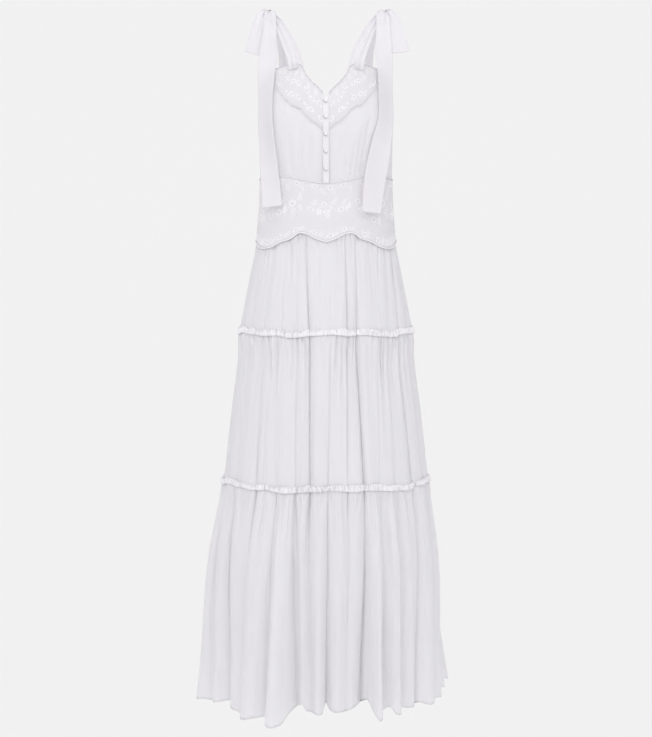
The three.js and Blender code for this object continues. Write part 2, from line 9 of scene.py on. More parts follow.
# %% Load the frame
import bpy
import numpy as np
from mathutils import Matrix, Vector


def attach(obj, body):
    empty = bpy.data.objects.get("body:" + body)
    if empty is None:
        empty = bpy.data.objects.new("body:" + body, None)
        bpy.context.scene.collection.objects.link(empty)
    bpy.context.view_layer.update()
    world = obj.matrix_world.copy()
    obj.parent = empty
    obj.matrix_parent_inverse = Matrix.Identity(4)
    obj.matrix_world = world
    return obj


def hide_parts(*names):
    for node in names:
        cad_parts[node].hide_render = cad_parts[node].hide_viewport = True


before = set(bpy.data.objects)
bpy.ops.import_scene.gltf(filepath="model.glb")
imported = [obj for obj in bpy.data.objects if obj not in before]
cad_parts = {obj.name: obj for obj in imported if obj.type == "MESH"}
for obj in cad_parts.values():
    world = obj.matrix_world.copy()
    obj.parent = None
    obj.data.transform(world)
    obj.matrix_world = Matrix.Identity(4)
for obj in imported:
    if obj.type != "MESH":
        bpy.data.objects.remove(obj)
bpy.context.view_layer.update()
MM = 0.001
print("frame nodes:", len(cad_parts))

# %% [markdown]
# ## Camera, light and backdrop
# The dress is seen from straight in front, a little above its middle, from four metres away. A
# long lens keeps the hem's curve shallow, as it is on the real one. White cloth on a white ground
# shows its folds only by soft shade. So three large lamps and a white room light it from all
# round, a little more from the left, and the pale backdrop, which glows faintly, curves up from
# the floor behind the dress with no edge.

# %% Camera
CAMERA_DISTANCE = 4000
CAMERA_HEIGHT = -460
AIM_HEIGHT = -697
LENS = 97.7

camera_data = bpy.data.cameras.new("camera")
camera_data.lens = LENS
camera_data.sensor_width = 36
camera_data.clip_end = 40
camera = bpy.data.objects.new("camera", camera_data)
bpy.context.collection.objects.link(camera)
camera.location = Vector((0, -CAMERA_DISTANCE, CAMERA_HEIGHT)) * MM
aim = Vector((0, CAMERA_DISTANCE, AIM_HEIGHT - CAMERA_HEIGHT))
camera.rotation_euler = aim.to_track_quat("-Z", "Y").to_euler()
bpy.context.scene.camera = camera
print("camera height, mm:", CAMERA_HEIGHT, "distance, mm:", CAMERA_DISTANCE)


# %% Colours and material nodes
def linear(code):
    """A linear colour from an sRGB hex code such as #EDECEF."""
    value = np.array([int(code[i:i + 2], 16) for i in (1, 3, 5)]) / 255
    curve = np.where(value <= 0.04045, value / 12.92, ((value + 0.055) / 1.055) ** 2.4)
    return (*curve.tolist(), 1.0)


def add_node(tree, kind, inputs=None, **settings):
    """A shader node with its settings, and its inputs set to values or linked to sockets."""
    node = tree.nodes.new(kind)
    for name, value in settings.items():
        setattr(node, name, value)
    for name, value in (inputs or {}).items():
        if isinstance(value, bpy.types.NodeSocket):
            tree.links.new(value, node.inputs[name])
        else:
            node.inputs[name].default_value = value
    return node


def new_material(name, values):
    """A node material whose Principled shader has these input values and feeds the output."""
    material = bpy.data.materials.new(name)
    material.use_nodes = True
    tree = material.node_tree
    tree.nodes.clear()
    shader = add_node(tree, "ShaderNodeBsdfPrincipled", values)
    add_node(tree, "ShaderNodeOutputMaterial", {"Surface": shader.outputs["BSDF"]})
    return material, tree, shader


# %% A mesh from a grid of points
def cell_corners(rows, columns, ring):
    """Corner numbers of every cell of a grid, as an array of quads. A ring's last cell closes it."""
    r, c = np.meshgrid(np.arange(rows - 1), np.arange(columns if ring else columns - 1), indexing="ij")
    right = (c + 1) % columns
    quads = [r * columns + c, r * columns + right, (r + 1) * columns + right, (r + 1) * columns + c]
    return np.stack(quads, axis=-1).reshape(-1, 4)


def new_mesh(name, points, quads, material, corner_uv=None):
    """A smooth mesh object of one material from points in mm, quads and the place of each
    quad's corner on the cloth."""
    mesh = bpy.data.meshes.new(name)
    mesh.from_pydata((points.reshape(-1, 3) * MM).tolist(), [], quads.tolist())
    mesh.polygons.foreach_set("use_smooth", np.ones(len(quads), dtype=bool))
    mesh.materials.append(material)
    if corner_uv is not None:
        layer = mesh.uv_layers.new(name="cloth")
        layer.data.foreach_set("uv", corner_uv.reshape(-1).astype(np.float32))
    piece = bpy.data.objects.new(name, mesh)
    bpy.context.collection.objects.link(piece)
    return piece


# %% Backdrop
FLOOR_HEIGHT = -2300
BACKDROP_HALF_WIDTH = 9000
BACKDROP_COLOUR = "#BCBCBC"
BACKDROP_GLOW = 0.43


def backdrop_points():
    """A floor that turns up into a wall: a straight line, a quarter circle and a line again."""
    front, bend_start, radius, top = -9000, 4800, 2200, 6500
    turn = np.linspace(0, np.pi / 2, 25)
    y = np.concatenate([[front], bend_start + radius * np.sin(turn), [bend_start + radius]])
    z = np.concatenate([[0], radius - radius * np.cos(turn), [top]]) + FLOOR_HEIGHT
    x = np.array([-BACKDROP_HALF_WIDTH, BACKDROP_HALF_WIDTH])
    return np.stack(np.broadcast_arrays(x[None], y[:, None], z[:, None]), axis=-1)


# Matt paper lit from behind: it has no shine and hardly any shade, so it reads as one tone.
paper = new_material("backdrop_paper_lit_from_behind", {
    "Base Color": linear(BACKDROP_COLOUR), "Emission Color": linear("#FFFFFF"),
    "Emission Strength": BACKDROP_GLOW, "Roughness": 1.0, "Specular IOR Level": 0.0})[0]
points = backdrop_points()
new_mesh("backdrop", points, cell_corners(len(points), 2, False)[:, ::-1], paper)

# %% Lamps
LAMPS = [
    {"name": "key_left", "place": (-400, -3200, 1200), "size": 2200, "power": 24},
    {"name": "fill_right", "place": (2400, -3000, 500), "size": 2600, "power": 16},
    {"name": "top_soft", "place": (-300, -900, 2400), "size": 2000, "power": 10},
]
AIM_POINT = Vector((0, 0, -700))


def add_lamps():
    """Square area lamps, each turned to the middle of the dress."""
    for lamp in LAMPS:
        data = bpy.data.lights.new(lamp["name"], "AREA")
        data.size = lamp["size"] * MM
        data.energy = lamp["power"]
        item = bpy.data.objects.new(lamp["name"], data)
        item.location = Vector(lamp["place"]) * MM
        item.rotation_euler = (AIM_POINT - Vector(lamp["place"])).to_track_quat("-Z", "Y").to_euler()
        bpy.context.collection.objects.link(item)


add_lamps()
print("lamps:", [lamp["name"] for lamp in LAMPS])

# %% White room, a little brighter to the left
WORLD_LIGHT = 0.85
WORLD_TILT = 0.11
world = bpy.data.worlds.new("studio_white")
world.use_nodes = True
room = world.node_tree
room.nodes["Background"].inputs["Color"].default_value = linear("#FFFFFF")
direction = add_node(room, "ShaderNodeSeparateXYZ", {
    "Vector": add_node(room, "ShaderNodeTexCoord").outputs["Generated"]})
strength = add_node(room, "ShaderNodeMapRange", {
    "Value": direction.outputs["X"], "From Min": -1.0, "From Max": 1.0,
    "To Min": WORLD_LIGHT + WORLD_TILT, "To Max": WORLD_LIGHT - WORLD_TILT})
room.links.new(strength.outputs["Result"], room.nodes["Background"].inputs["Strength"])
bpy.context.scene.world = world
bpy.context.scene.view_settings.view_transform = "Standard"
bpy.context.scene.view_settings.look = "None"

# %% [markdown]
# ## The cloths
# The dress is fine white cotton, almost a voile: light shows in it, it has no shine, and thin
# uneven threads run down it. The ties are a closer, cooler white ribbon with a slight sheen and
# fine ribs across. The waistband and yoke are embroidered cotton, whose satin stitches catch the
# light. A pattern is made from waves and noise on each piece's own map in mm, so that it follows
# the cloth round every fold. Threads this fine would vanish in a picture of the whole dress, so
# the weave is drawn three to four times too coarse, at 1.3 mm, and the crinkle that runs down
# the cloth carries the look.


# %% Woven cloth
def woven_cloth(name, pale, shaded, thread, slub, roughness, sheen, bump, through=0.0, crinkle=None):
    """A woven cloth: threads both ways as waves on the piece's own map, in mm, and long slubs
    along its length that shift the colour a little and raise the surface. Slub is their width
    and length in mm. Crinkle is the width, length and depth in mm of soft creases that run down
    the cloth, and through is the share of light that passes."""
    material, tree, shader = new_material(name, {
        "Roughness": roughness, "Sheen Weight": sheen, "Sheen Roughness": 0.5,
        "Specular IOR Level": 0.2})
    place = add_node(tree, "ShaderNodeUVMap", uv_map="cloth").outputs["UV"]

    def scaled_place(width, length):
        """The place on the cloth, counted in steps of a width and a length in mm."""
        return add_node(tree, "ShaderNodeMapping", {
            "Vector": place, "Scale": (1 / width, 1 / length, 1)}).outputs["Vector"]

    slubs = add_node(tree, "ShaderNodeTexNoise", {
        "Vector": scaled_place(*slub), "Scale": 1.0, "Detail": 3.0, "Roughness": 0.55})
    colour = add_node(tree, "ShaderNodeMix", {
        "Factor": slubs.outputs["Fac"], "A": linear(pale), "B": linear(shaded)}, data_type="RGBA")
    fine = scaled_place(thread, thread)
    warp, weft = (add_node(tree, "ShaderNodeTexWave", {"Vector": fine, "Scale": 1.0, "Distortion": 1.5},
                           bands_direction=way).outputs["Fac"] for way in ("X", "Y"))
    weave = add_node(tree, "ShaderNodeMath", {0: warp, 1: weft}, operation="MULTIPLY")
    height = add_node(tree, "ShaderNodeMath", {0: slubs.outputs["Fac"], 1: 3.0, 2: weave.outputs[0]},
                      operation="MULTIPLY_ADD")
    relief = add_node(tree, "ShaderNodeBump", {
        "Height": height.outputs[0], "Strength": bump, "Distance": 0.0004})
    if crinkle:
        creases = add_node(tree, "ShaderNodeTexNoise", {
            "Vector": scaled_place(*crinkle[:2]), "Scale": 1.0, "Detail": 2.0, "Roughness": 0.6})
        relief = add_node(tree, "ShaderNodeBump", {
            "Height": creases.outputs["Fac"], "Strength": 1.0, "Distance": crinkle[2] * MM,
            "Normal": relief.outputs["Normal"]})
    tree.links.new(colour.outputs["Result"], shader.inputs["Base Color"])
    tree.links.new(relief.outputs["Normal"], shader.inputs["Normal"])
    if through:
        glow = add_node(tree, "ShaderNodeBsdfTranslucent", {"Color": colour.outputs["Result"]})
        mixed = add_node(tree, "ShaderNodeMixShader", {
            0: through, 1: shader.outputs["BSDF"], 2: glow.outputs["BSDF"]})
        output = next(node for node in tree.nodes if node.type == "OUTPUT_MATERIAL")
        tree.links.new(mixed.outputs["Shader"], output.inputs["Surface"])
    return material


# %% Voile, ribbon, eyelet cotton and thread
# Cotton voile, woven: fine and open, so light shows in it, and it has no shine.
VOILE = {"thread": 1.3, "slub": (2.2, 45), "roughness": 0.95, "sheen": 0.1}
VOILE_THROUGH = 0.4
voile = woven_cloth("cotton_voile_woven", "#FCFBFD", "#F8F7FA", **VOILE, bump=0.35,
                    through=VOILE_THROUGH, crinkle=(14, 240, 5.5))
# The same voile drawn over the body, which leaves wider, shorter and shallower creases.
bodice_voile = woven_cloth("cotton_voile_of_bodice", "#FCFBFD", "#F8F7FA", **VOILE, bump=0.35,
                           through=VOILE_THROUGH, crinkle=(26, 160, 3.0))
# Doubled and pleated voile: little light passes, so the strip shows its own white.
ruffle_voile = woven_cloth("cotton_voile_doubled_ruffle", "#F5F3F7", "#F0EEF3", **VOILE, bump=0.3,
                           through=0.05)
# Ribbed cotton ribbon, closely woven: a smooth cool white with fine ribs across.
ribbon_weave = woven_cloth("cotton_ribbon_ribbed", "#F9F8FA", "#F6F4F8", thread=1.0, slub=(30, 1.6),
                           roughness=0.8, sheen=0.1, bump=0.25, through=0.5)
# Eyelet cotton, woven close: a dull even ground, a little darker than the stitches on it.
lace_ground = woven_cloth("cotton_eyelet_ground", "#F9F7FA", "#F2F0F4", thread=1.3, slub=(5, 5),
                          roughness=0.9, sheen=0.1, bump=0.5, through=0.2)
# Satin stitch in cotton thread laid side by side: it catches the light in small bright leaves.
satin_stitch = woven_cloth("satin_stitch_cotton_thread", "#FBFAFC", "#F7F6F9", thread=0.9,
                           slub=(1.4, 5), roughness=0.45, sheen=0.5, bump=0.4)
# Cotton drawn tight over a button: smooth, with a soft highlight and darker sides. It is set greyer than
# the same cotton on the dress: painted shade that tones down the top light on the small balls.
button_cotton_painted_grey = woven_cloth("covered_button_cotton_painted_shade", "#EDECEE", "#E4E2E6", thread=0.9, slub=(2, 2),
                           roughness=0.5, sheen=0.2, bump=0.3)
print("cloths:", voile.name, ribbon_weave.name, lace_ground.name, satin_stitch.name)

# %% [markdown]
# ## Sections and edges
# A dressmaker's block is a few measurements round the body at a few heights. The same tables
# give the solids their form, so the cloth drawn here lies on them: half widths, how far the front
# and back stand out, and the lines of the neck, waist and scalloped band. Between the rows a
# smooth curve is drawn, because cloth has no corners there.

# %% Tables of the cut
BODICE_SECTIONS = np.array([
    # height, half width, front, back
    (-60, 116, 78, 72),
    (-110, 121, 90, 80),
    (-165, 129, 106, 88),
    (-205, 132.5, 112, 92),
    (-260, 132.5, 106, 92),
    (-330, 132, 98, 91),
    (-390, 134.5, 99, 94),
    (-450, 141, 105, 101),
    (-488, 149, 117, 113),
])
SKIRT_SECTIONS = np.array([
    (-390, 134.5, 99, 94),
    (-450, 141, 105, 101),
    (-488, 149, 117, 113),
    (-536, 158, 130, 126),
    (-584, 167, 141, 137),
    (-626, 174, 150, 146),
    (-680, 178, 158, 154),
    (-752, 187, 168, 164),
    (-848, 198, 180, 176),
    (-924, 207, 190, 186),
    (-968, 217, 200, 196),
    (-1016, 227, 209, 205),
    (-1064, 236, 216, 212),
    (-1160, 246, 224, 220),
    (-1256, 252, 227, 224),
    (-1360, 262, 230, 228),
])
FRONT_TOP = np.array([
    # turn, height
    (0, -165), (3.75, -153), (7.5, -144), (11.25, -137), (15, -128), (18.75, -118), (21.5, -108),
    (36.5, -100), (48.75, -104), (60, -110), (71.25, -132), (82.5, -168), (90, -190),
])
BACK_TOP = np.array([(90, -190), (105, -178), (125, -172), (180, -172)])
WAIST_LINE = np.array([(0, -331), (20, -324), (34, -317), (60, -318), (90, -320), (180, -322)])
BAND_FOOT = np.array([
    (0, -444), (7.5, -438), (15, -429), (22.5, -427), (30, -438), (37.5, -443), (48.75, -454),
    (63.75, -456), (78.75, -446), (90, -441), (101.25, -446), (116.25, -456), (131.25, -454),
    (142.5, -443), (157.5, -427), (165, -429), (172.5, -438), (180, -444),
])
LACE_FOOT = np.array([
    (2, -226), (6.4, -216), (10.7, -210), (15, -203), (18.7, -192), (25, -181), (31, -177),
    (39.5, -160), (50, -142), (60, -124),
])


def smooth_read(table, place, column):
    """A table's column at each place, on a cubic curve through the rows whose slope at a row
    is that of the line between its two neighbours."""
    rows = table if table[0, 0] < table[-1, 0] else table[::-1]
    x, y = rows[:, 0], rows[:, column]
    slope = np.gradient(y, x)
    place = np.clip(place, x[0], x[-1])
    i = np.clip(np.searchsorted(x, place) - 1, 0, len(x) - 2)
    width = x[i + 1] - x[i]
    t = (place - x[i]) / width
    start = (1 + 2 * t) * (1 - t) ** 2 * y[i] + t * (1 - t) ** 2 * width * slope[i]
    end = t ** 2 * (3 - 2 * t) * y[i + 1] + t ** 2 * (t - 1) * width * slope[i + 1]
    return start + end


def edge_height(edge, turn):
    """The height of an edge line at a turn, read at that turn's distance from the front centre,
    which is the same on both sides, from 0 to 180 degrees."""
    return smooth_read(edge, np.abs((turn + 180) % 360 - 180), 1)


def section_point(sections, turn, z, lift=0.0):
    """A point on an ellipse whose half width and front or back depth come from the table at
    that height, moved out along the ellipse's normal by lift."""
    a = smooth_read(sections, z, 1)
    front = smooth_read(sections, z, 2)
    back = smooth_read(sections, z, 3)
    angle = np.radians(turn)
    b = np.where(np.cos(angle) > 0, front, back)
    sine, cosine = np.sin(angle), np.cos(angle)
    length = np.hypot(sine / a, cosine / b)
    x = a * sine + lift * sine / a / length
    y = -b * cosine - lift * cosine / b / length
    return np.stack([x, y, np.broadcast_to(z, x.shape)], axis=-1)


print("half width at the hem, mm:", SKIRT_SECTIONS[-1, 1])


# %% Making a cloth surface from a grid
CLOTH_THICKNESS = 0.7


def cloth_uv(points, ring):
    """Where each cell's corners lie on the flat cloth, in mm: the average length along the rows
    and the average length along the columns, added up from the first."""
    across = np.linalg.norm(np.diff(points, axis=1), axis=-1).mean(axis=0)
    along = np.linalg.norm(np.diff(points, axis=0), axis=-1).mean(axis=1)
    u = np.concatenate([[0], np.cumsum(across)])
    v = np.concatenate([[0], np.cumsum(along)])
    if ring:
        u = np.append(u, u[-1] + across.mean())
    r, c = np.meshgrid(np.arange(len(v) - 1), np.arange(len(u) - 1), indexing="ij")
    corners = [(u[c], v[r]), (u[c + 1], v[r]), (u[c + 1], v[r + 1]), (u[c], v[r + 1])]
    return np.stack([np.stack(corner, axis=-1) for corner in corners], axis=-2).reshape(-1, 4, 2)


def faces_in(points, quads):
    """True when most cells of a wall round the body face its axis, not away from it."""
    flat = points.reshape(-1, 3)
    a, b, c = (flat[quads[:, i]] for i in range(3))
    normal = np.cross(b - a, c - a)
    return (normal[:, :2] * a[:, :2]).sum() < 0


def cloth_piece(name, points, material, thickness=CLOTH_THICKNESS, inward=True):
    """A cloth piece from a grid of points: its faces turned outward, its map in mm, and a thin
    wall grown to the inside, or to both sides."""
    quads = cell_corners(points.shape[0], points.shape[1], False)
    uv = cloth_uv(points, False)
    if inward and faces_in(points, quads):
        quads, uv = quads[:, ::-1], uv[:, ::-1]
    piece = new_mesh(name, points, quads, material, uv)
    wall = piece.modifiers.new("thickness", "SOLIDIFY")
    wall.thickness = thickness * MM
    wall.offset = -1 if inward else 0
    return piece


def dress_piece(piece, slot, *nodes):
    """A piece that rides with the dress and stands for its nodes. Its slot is not used."""
    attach(piece, "root")
    if nodes:
        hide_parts(*nodes)


def sewn_cloth(name, points, material, slot, *nodes, held="gathered", **wall):
    """A cloth piece that rides with the dress."""
    piece = cloth_piece(name, points, material, **wall)
    dress_piece(piece, slot, *nodes)


def round_piece(name, points, material, mirrored=False):
    """A closed round piece, such as a cord or a ball, from rings of points, mapped in mm. One
    that is mirrored has its faces turned round, so that they still point outward."""
    quads = cell_corners(points.shape[0], points.shape[1], True)
    return new_mesh(name, points, quads[:, ::-1] if mirrored else quads, material, cloth_uv(points, True))


# %% [markdown]
# ## The bodice
# The bodice is a front of two panels and a back, gathered lightly into the waistband. Each is a
# grid of columns round the body and rows from the neck edge to the waist. Its gathers are soft
# troughs that start at the waistband and die out upwards, each with its own length and depth;
# evenly spaced ones would look pressed by a machine.

# %% Soft troughs
RANDOM = np.random.default_rng(17)


def troughs(x, z, rows):
    """How far the cloth sinks at each place, in mm. Each row is a crease from (x1, z1) to
    (x2, z2) with a depth and a width; its depth fades at both ends, and across it falls off
    as exp(-(distance / width)^2)."""
    sink = np.zeros(np.broadcast(x, z).shape)
    for x1, z1, x2, z2, depth, width in rows:
        t = (z - z1) / (z2 - z1)
        line = x1 + (x2 - x1) * t
        fade = np.clip(1 - (2 * np.clip(t, -0.5, 1.5) - 1) ** 4, 0, 1)
        sink += depth * fade * np.exp(-((x - line) / width) ** 2)
    return sink


BODICE_CREASES = [
    # x1, z1, x2, z2 (mm), depth, width
    (88, -200, 66, -325, 5.0, 5.0),
    (76, -212, 56, -325, 4.0, 4.0),
    (60, -245, 46, -326, 2.6, 3.5),
    (40, -270, 36, -326, 2.0, 3.0),
    (98, -225, 78, -326, 3.4, 5.0),
    (112, -235, 96, -326, 1.6, 5.0),
    (-52, -205, -50, -325, 1.2, 4.5),
    (-36, -235, -32, -325, 1.3, 4.0),
    (-76, -215, -66, -325, 1.3, 5.0),
    (-94, -235, -84, -326, 1.4, 5.0),
    (-112, -240, -104, -326, 1.5, 5.5),
]
GATHER_PITCH = 7.5
WAIST_RADIUS = 115


def waist_gathers():
    """Short creases rising from the waistband, at uneven steps all round, as turn, height
    reached, depth and width."""
    count = int(2 * np.pi * WAIST_RADIUS / GATHER_PITCH)
    turn = np.linspace(0, 360, count, endpoint=False) + RANDOM.uniform(-1.6, 1.6, count)
    reach = RANDOM.uniform(10, 46, count)
    depth = RANDOM.uniform(0.4, 1.1, count)
    width = RANDOM.uniform(1.0, 1.9, count)
    return np.stack([turn, reach, depth, width], axis=-1)


def gathered(turn, rise, gathers):
    """How far gathers sink the cloth at a turn and a height above their seam: the sum over all
    gathers of depth * exp(-(rise / reach)^2) * exp(-(turn difference / width)^2)."""
    sink = np.zeros(np.broadcast(turn, rise).shape)
    for centre, reach, depth, width in gathers:
        apart = (turn - centre + 180) % 360 - 180
        sink += depth * np.exp(-(rise / reach) ** 2 - (apart / width) ** 2)
    return sink


WAIST_GATHERS = waist_gathers()
print("gathers round the waist:", len(WAIST_GATHERS))

# %% A bodice panel
BODICE_ROWS = 44
BODICE_COLUMNS = 76
TUCK_IN_BAND = 3
BAND_PRESS = 0.6
NECK_EASE = 18
WAIST_EASE = 14
CENTRE_GAP = 0.15


def bodice_points(first_turn, last_turn, top_table, columns):
    """A bodice panel: the section's ellipse at each row's height, between the neck edge and the
    waist line, sunk by its creases and gathers, which ease off at both edges."""
    turn = np.linspace(first_turn, last_turn, columns)[None, :]
    share = np.linspace(0, 1, BODICE_ROWS)[:, None]
    top = edge_height(top_table, turn)
    foot = edge_height(WAIST_LINE, turn) - TUCK_IN_BAND
    z = top + (foot - top) * share
    bare = section_point(BODICE_SECTIONS, turn, z)
    sink = gathered(turn, z - foot, WAIST_GATHERS)
    front = bare[..., 1] < 0
    sink = sink + np.where(front, troughs(bare[..., 0], z, BODICE_CREASES), 0)
    eased = np.clip((top - z) / NECK_EASE, 0, 1) * np.clip((z - foot) / WAIST_EASE, 0.1, 1)
    return section_point(BODICE_SECTIONS, turn, z, -sink * eased - BAND_PRESS * share)


# %% Front panels and back
SIDES = ((1, "left"), (-1, "right"))
for side, name in SIDES:
    points = bodice_points(side * CENTRE_GAP, side * 90, FRONT_TOP, BODICE_COLUMNS)
    sewn_cloth(f"bodice_front_{name}_cloth", points, bodice_voile, "cotton", f"bodice_front_{name}")
points = bodice_points(90, 270, BACK_TOP, 2 * BODICE_COLUMNS)
sewn_cloth("bodice_back_cloth", points, bodice_voile, "cotton", "bodice_back")

# %% [markdown]
# ## The three gathered tiers
# Each tier is a wide strip gathered into the seam above it. The large folds start shallow at the
# waist and deepen to the hem, so the tables give each fold's place and depth at four heights and
# the cloth between them is mixed. Fine gathers crowd below each seam and merge downwards into the
# large folds. A simulation would not put the folds where the photographed dress has them, so
# they are set out by measure.

# %% Fold tables
FRONT_FOLDS = np.array([
    # groove turns at band, seam 1, seam 2, hem; groove depths at seams 1, 2, hem; crest depths
    (-90, -90, -90, -90, 9, 13, 24, 0, 0, 0),
    (-76, -75, -76, -80, 8, 12, 26, 0, 0, 28),
    (-63, -60, -61, -69, 9, 13, 84, 0, 0, 46),
    (-47, -45, -42, -50, 8, 12, 66, 0, 2, 24),
    (-34, -30, -27, -30, 8, 10, 84, 0, 0, -8),
    (-24, -19, -17, -18, 7, 12, 92, 2, 4, 76),
    (-17, -11, -9, -11, 15, 22, 82, 0, 0, 72),
    (5, 3, 1, 0, 8, 16, 128, 0, 2, 80),
    (16, 14, 12, 12, 12, 11, 88, 9, 4, 82),
    (25, 21, 22, 22, 15, 22, 106, 0, 0, 18),
    (42, 36, 31, 30, 10, 12, 92, 0, 0, 40),
    (54, 44, 42, 47, 10, 12, 104, 0, 2, 58),
    (67, 56, 58, 64, 11, 15, 76, 0, 0, 34),
    (79, 73, 74, 78, 9, 13, 58, 0, 0, 28),
])
BACK_FOLDS = 13
REAR_WING = 2


def uneven(i, k):
    """A number from -1 to 1 that differs from fold to fold: the sine of 2.4 i + 1.7 k."""
    return np.sin(i * 2.4 + k * 1.7)


def back_folds():
    """The back's folds at even turns that sway a little, with depths that vary the same way.
    The first ends the front's last fold, and one crest stands out as a wing to the rear."""
    i = np.arange(BACK_FOLDS)
    sway = np.where(i == 0, 0, 2.5)
    turn = 90 + i * 180 / BACK_FOLDS
    rows = [turn + sway * uneven(i, k) for k in (0, 0.4, 0.9, 1.4)]
    rows += [9 + 2 * uneven(i, 1), 14 + 4 * uneven(i, 2), 58 + 12 * uneven(i, 3)]
    rows += [np.zeros(BACK_FOLDS), 2 + uneven(i, 4) - 1, 8 + 7 * uneven(i, 5)]
    table = np.stack(rows, axis=-1)
    table[0, 4:] = (9, 13, 52, 0, 0, 26)
    table[REAR_WING, 9] = -55
    return table


FOLDS = np.concatenate([FRONT_FOLDS, back_folds()])
FRONT_COUNT = len(FRONT_FOLDS)
FOLD_COUNT = len(FOLDS)
print("folds round the skirt:", FOLD_COUNT)

# %% Folds between the tables' rows
TUCK_UNDER_BAND = 5
BAND_INSET = 2.5
TOP_GATHER = 2.5
HEM_LEVEL = 3


def fold_levels():
    """Groove turn, groove depth and crest depth of each fold at the four heights, with the
    first fold repeated a full turn on."""
    turn = FOLDS[:, 0:4]
    at_band = np.full((FOLD_COUNT, 1), BAND_INSET)
    groove = np.concatenate([at_band + TOP_GATHER, FOLDS[:, 4:7]], axis=1)
    crest = np.concatenate([at_band, FOLDS[:, 7:10]], axis=1)
    return [np.concatenate([a, a[:1] + b]) for a, b in ((turn, 360), (groove, 0), (crest, 0))]


FRONT_STRENGTH = np.array([
    # how strongly each groove shows at the band, seam 1, seam 2 and hem
    (0.30, 0.30, 0.30, 0.60),
    (0.20, 0.20, 0.25, 0.60),
    (0.25, 0.25, 0.35, 0.60),
    (0.20, 0.30, 0.45, 0.60),
    (0.20, 0.15, 0.20, 0.50),
    (0.40, 0.35, 0.30, 0.45),
    (0.90, 0.75, 0.60, 1.00),
    (0.20, 0.25, 0.40, 0.42),
    (0.70, 0.60, 0.20, 1.00),
    (0.70, 0.80, 0.60, 0.40),
    (0.25, 0.30, 0.30, 0.50),
    (0.30, 0.35, 0.35, 0.50),
    (0.60, 1.00, 0.60, 0.50),
    (0.80, 1.00, 1.00, 0.60),
])
FOLD_TURN, FOLD_GROOVE, FOLD_CREST = fold_levels()
BACK_STRENGTH = np.stack([0.5 + 0.25 * uneven(np.arange(BACK_FOLDS), k) for k in (5, 6, 7, 8)], axis=-1)
FOLD_STRENGTH = np.concatenate([FRONT_STRENGTH, BACK_STRENGTH, FRONT_STRENGTH[:1]])
ROUNDNESS = np.array([0.36, 0.42, 0.55, 0.95])[None] * RANDOM.uniform(0.75, 1.3, (FOLD_COUNT, 1))
LEAN = RANDOM.uniform(0.82, 1.22, FOLD_COUNT)


def fold_parts(q, level):
    """At fold place q and one of the four heights: the fold's number, the place t across it,
    the floor, which runs straight from one groove to the next, and how far the crest stands on
    it, sin(pi t)^roundness, leaning a little. A low roundness gives flat crests with narrow
    grooves, as below the band, and a high one open waves, as at the hem."""
    i = np.clip(np.floor(q).astype(int), 0, FOLD_COUNT - 1)
    t = q - i
    floor = FOLD_GROOVE[i, level] * (1 - t) + FOLD_GROOVE[i + 1, level] * t
    height = np.maximum(np.sin(np.pi * t ** LEAN[i]), 0) ** ROUNDNESS[i, level]
    return i, t, floor, height


def fold_place(q, level):
    """The turn and depth of the folded cloth at fold place q: the crest's depth, and from there
    down to the floor where the crest falls away. Strength brings a faint fold's groove nearer
    its crest."""
    i, t, floor, height = fold_parts(q, level)
    turn = FOLD_TURN[i, level] * (1 - t) + FOLD_TURN[i + 1, level] * t
    crest = FOLD_CREST[i, level]
    weak = FOLD_STRENGTH[i, level] * (1 - t) + FOLD_STRENGTH[i + 1, level] * t
    return turn, crest + (floor - crest) * weak * (1 - height)


def full_depth(q):
    """The hem's depth with every groove at its full measure, which sets how the hem line rises."""
    i, _, floor, height = fold_parts(q, HEM_LEVEL)
    return floor * (1 - height) + FOLD_CREST[i, HEM_LEVEL] * height


# %% Gathers below a seam
GATHERS_A_FOLD = 6


def seam_gathers(seed, reach_low, reach_high, depth_low, depth_high):
    """Fine gathers at uneven steps along the folds: place in folds, drift, reach in mm, depth
    and width in folds. Reach is a random share^2.2 of its range, so most of them are short."""
    random = np.random.default_rng(seed)
    count = FOLD_COUNT * GATHERS_A_FOLD
    q = (np.arange(count) + random.uniform(-0.3, 0.3, count)) / GATHERS_A_FOLD
    drift = random.uniform(-0.25, 0.25, count)
    reach = reach_low + (reach_high - reach_low) * random.uniform(0, 1, count) ** 2.2
    depth = random.uniform(depth_low, depth_high, count)
    width = random.uniform(0.045, 0.09, count)
    return np.stack([q, drift, reach, depth, width], axis=-1)


def gather_sink(q, fall, gathers):
    """How far the gathers sink the cloth at fold place q and a fall below the seam. A gather
    widens as it falls and fades as exp(-(fall / reach)^1.5)."""
    sink = np.zeros(np.broadcast(q, fall).shape)
    for centre, drift, reach, depth, width in gathers:
        near = np.abs(q[0] - centre) < 5 * width + 0.9
        t = fall[:, near] / reach
        wide = width * (1 + 0.9 * np.minimum(t, 3))
        line = centre + drift * np.minimum(t, 2)
        sink[:, near] += depth * np.exp(-t ** 1.5 - ((q[:, near] - line) / wide) ** 2)
    return sink


# %% The tiers' surfaces
SEAM_1, SEAM_2, HEM = -626, -924, -1360
SEAM_GAP = 0.3
BULGE_FALL, BULGE_WIDTH = 9, 20
HEM_RISE = 8
RISE_A_DEPTH = 0.22
DEEPEST_GROOVE = 128
COLUMNS_A_FOLD = 20
FRONT_EASE = 80
HEM_LOBES = np.array([
    # x across the front, mm, and how far the hem is off its even line there
    (-246, -4), (-200, -5), (-174, -12), (-168, -18), (-145, -11), (-122, -12), (-113, -14),
    (-86, -20), (-65, -6), (-52, 9), (-46, 12), (-39, -3), (-22, -6), (-7, -12), (-1, 3),
    (7, -5), (35, -6), (50, 0), (58, 5), (73, 12), (84, 10), (94, -2), (104, -9), (112, -6),
    (121, 4), (127, 4), (136, -7), (146, -9), (154, -8), (160, -8), (166, -6), (208, -7), (229, 0),
])


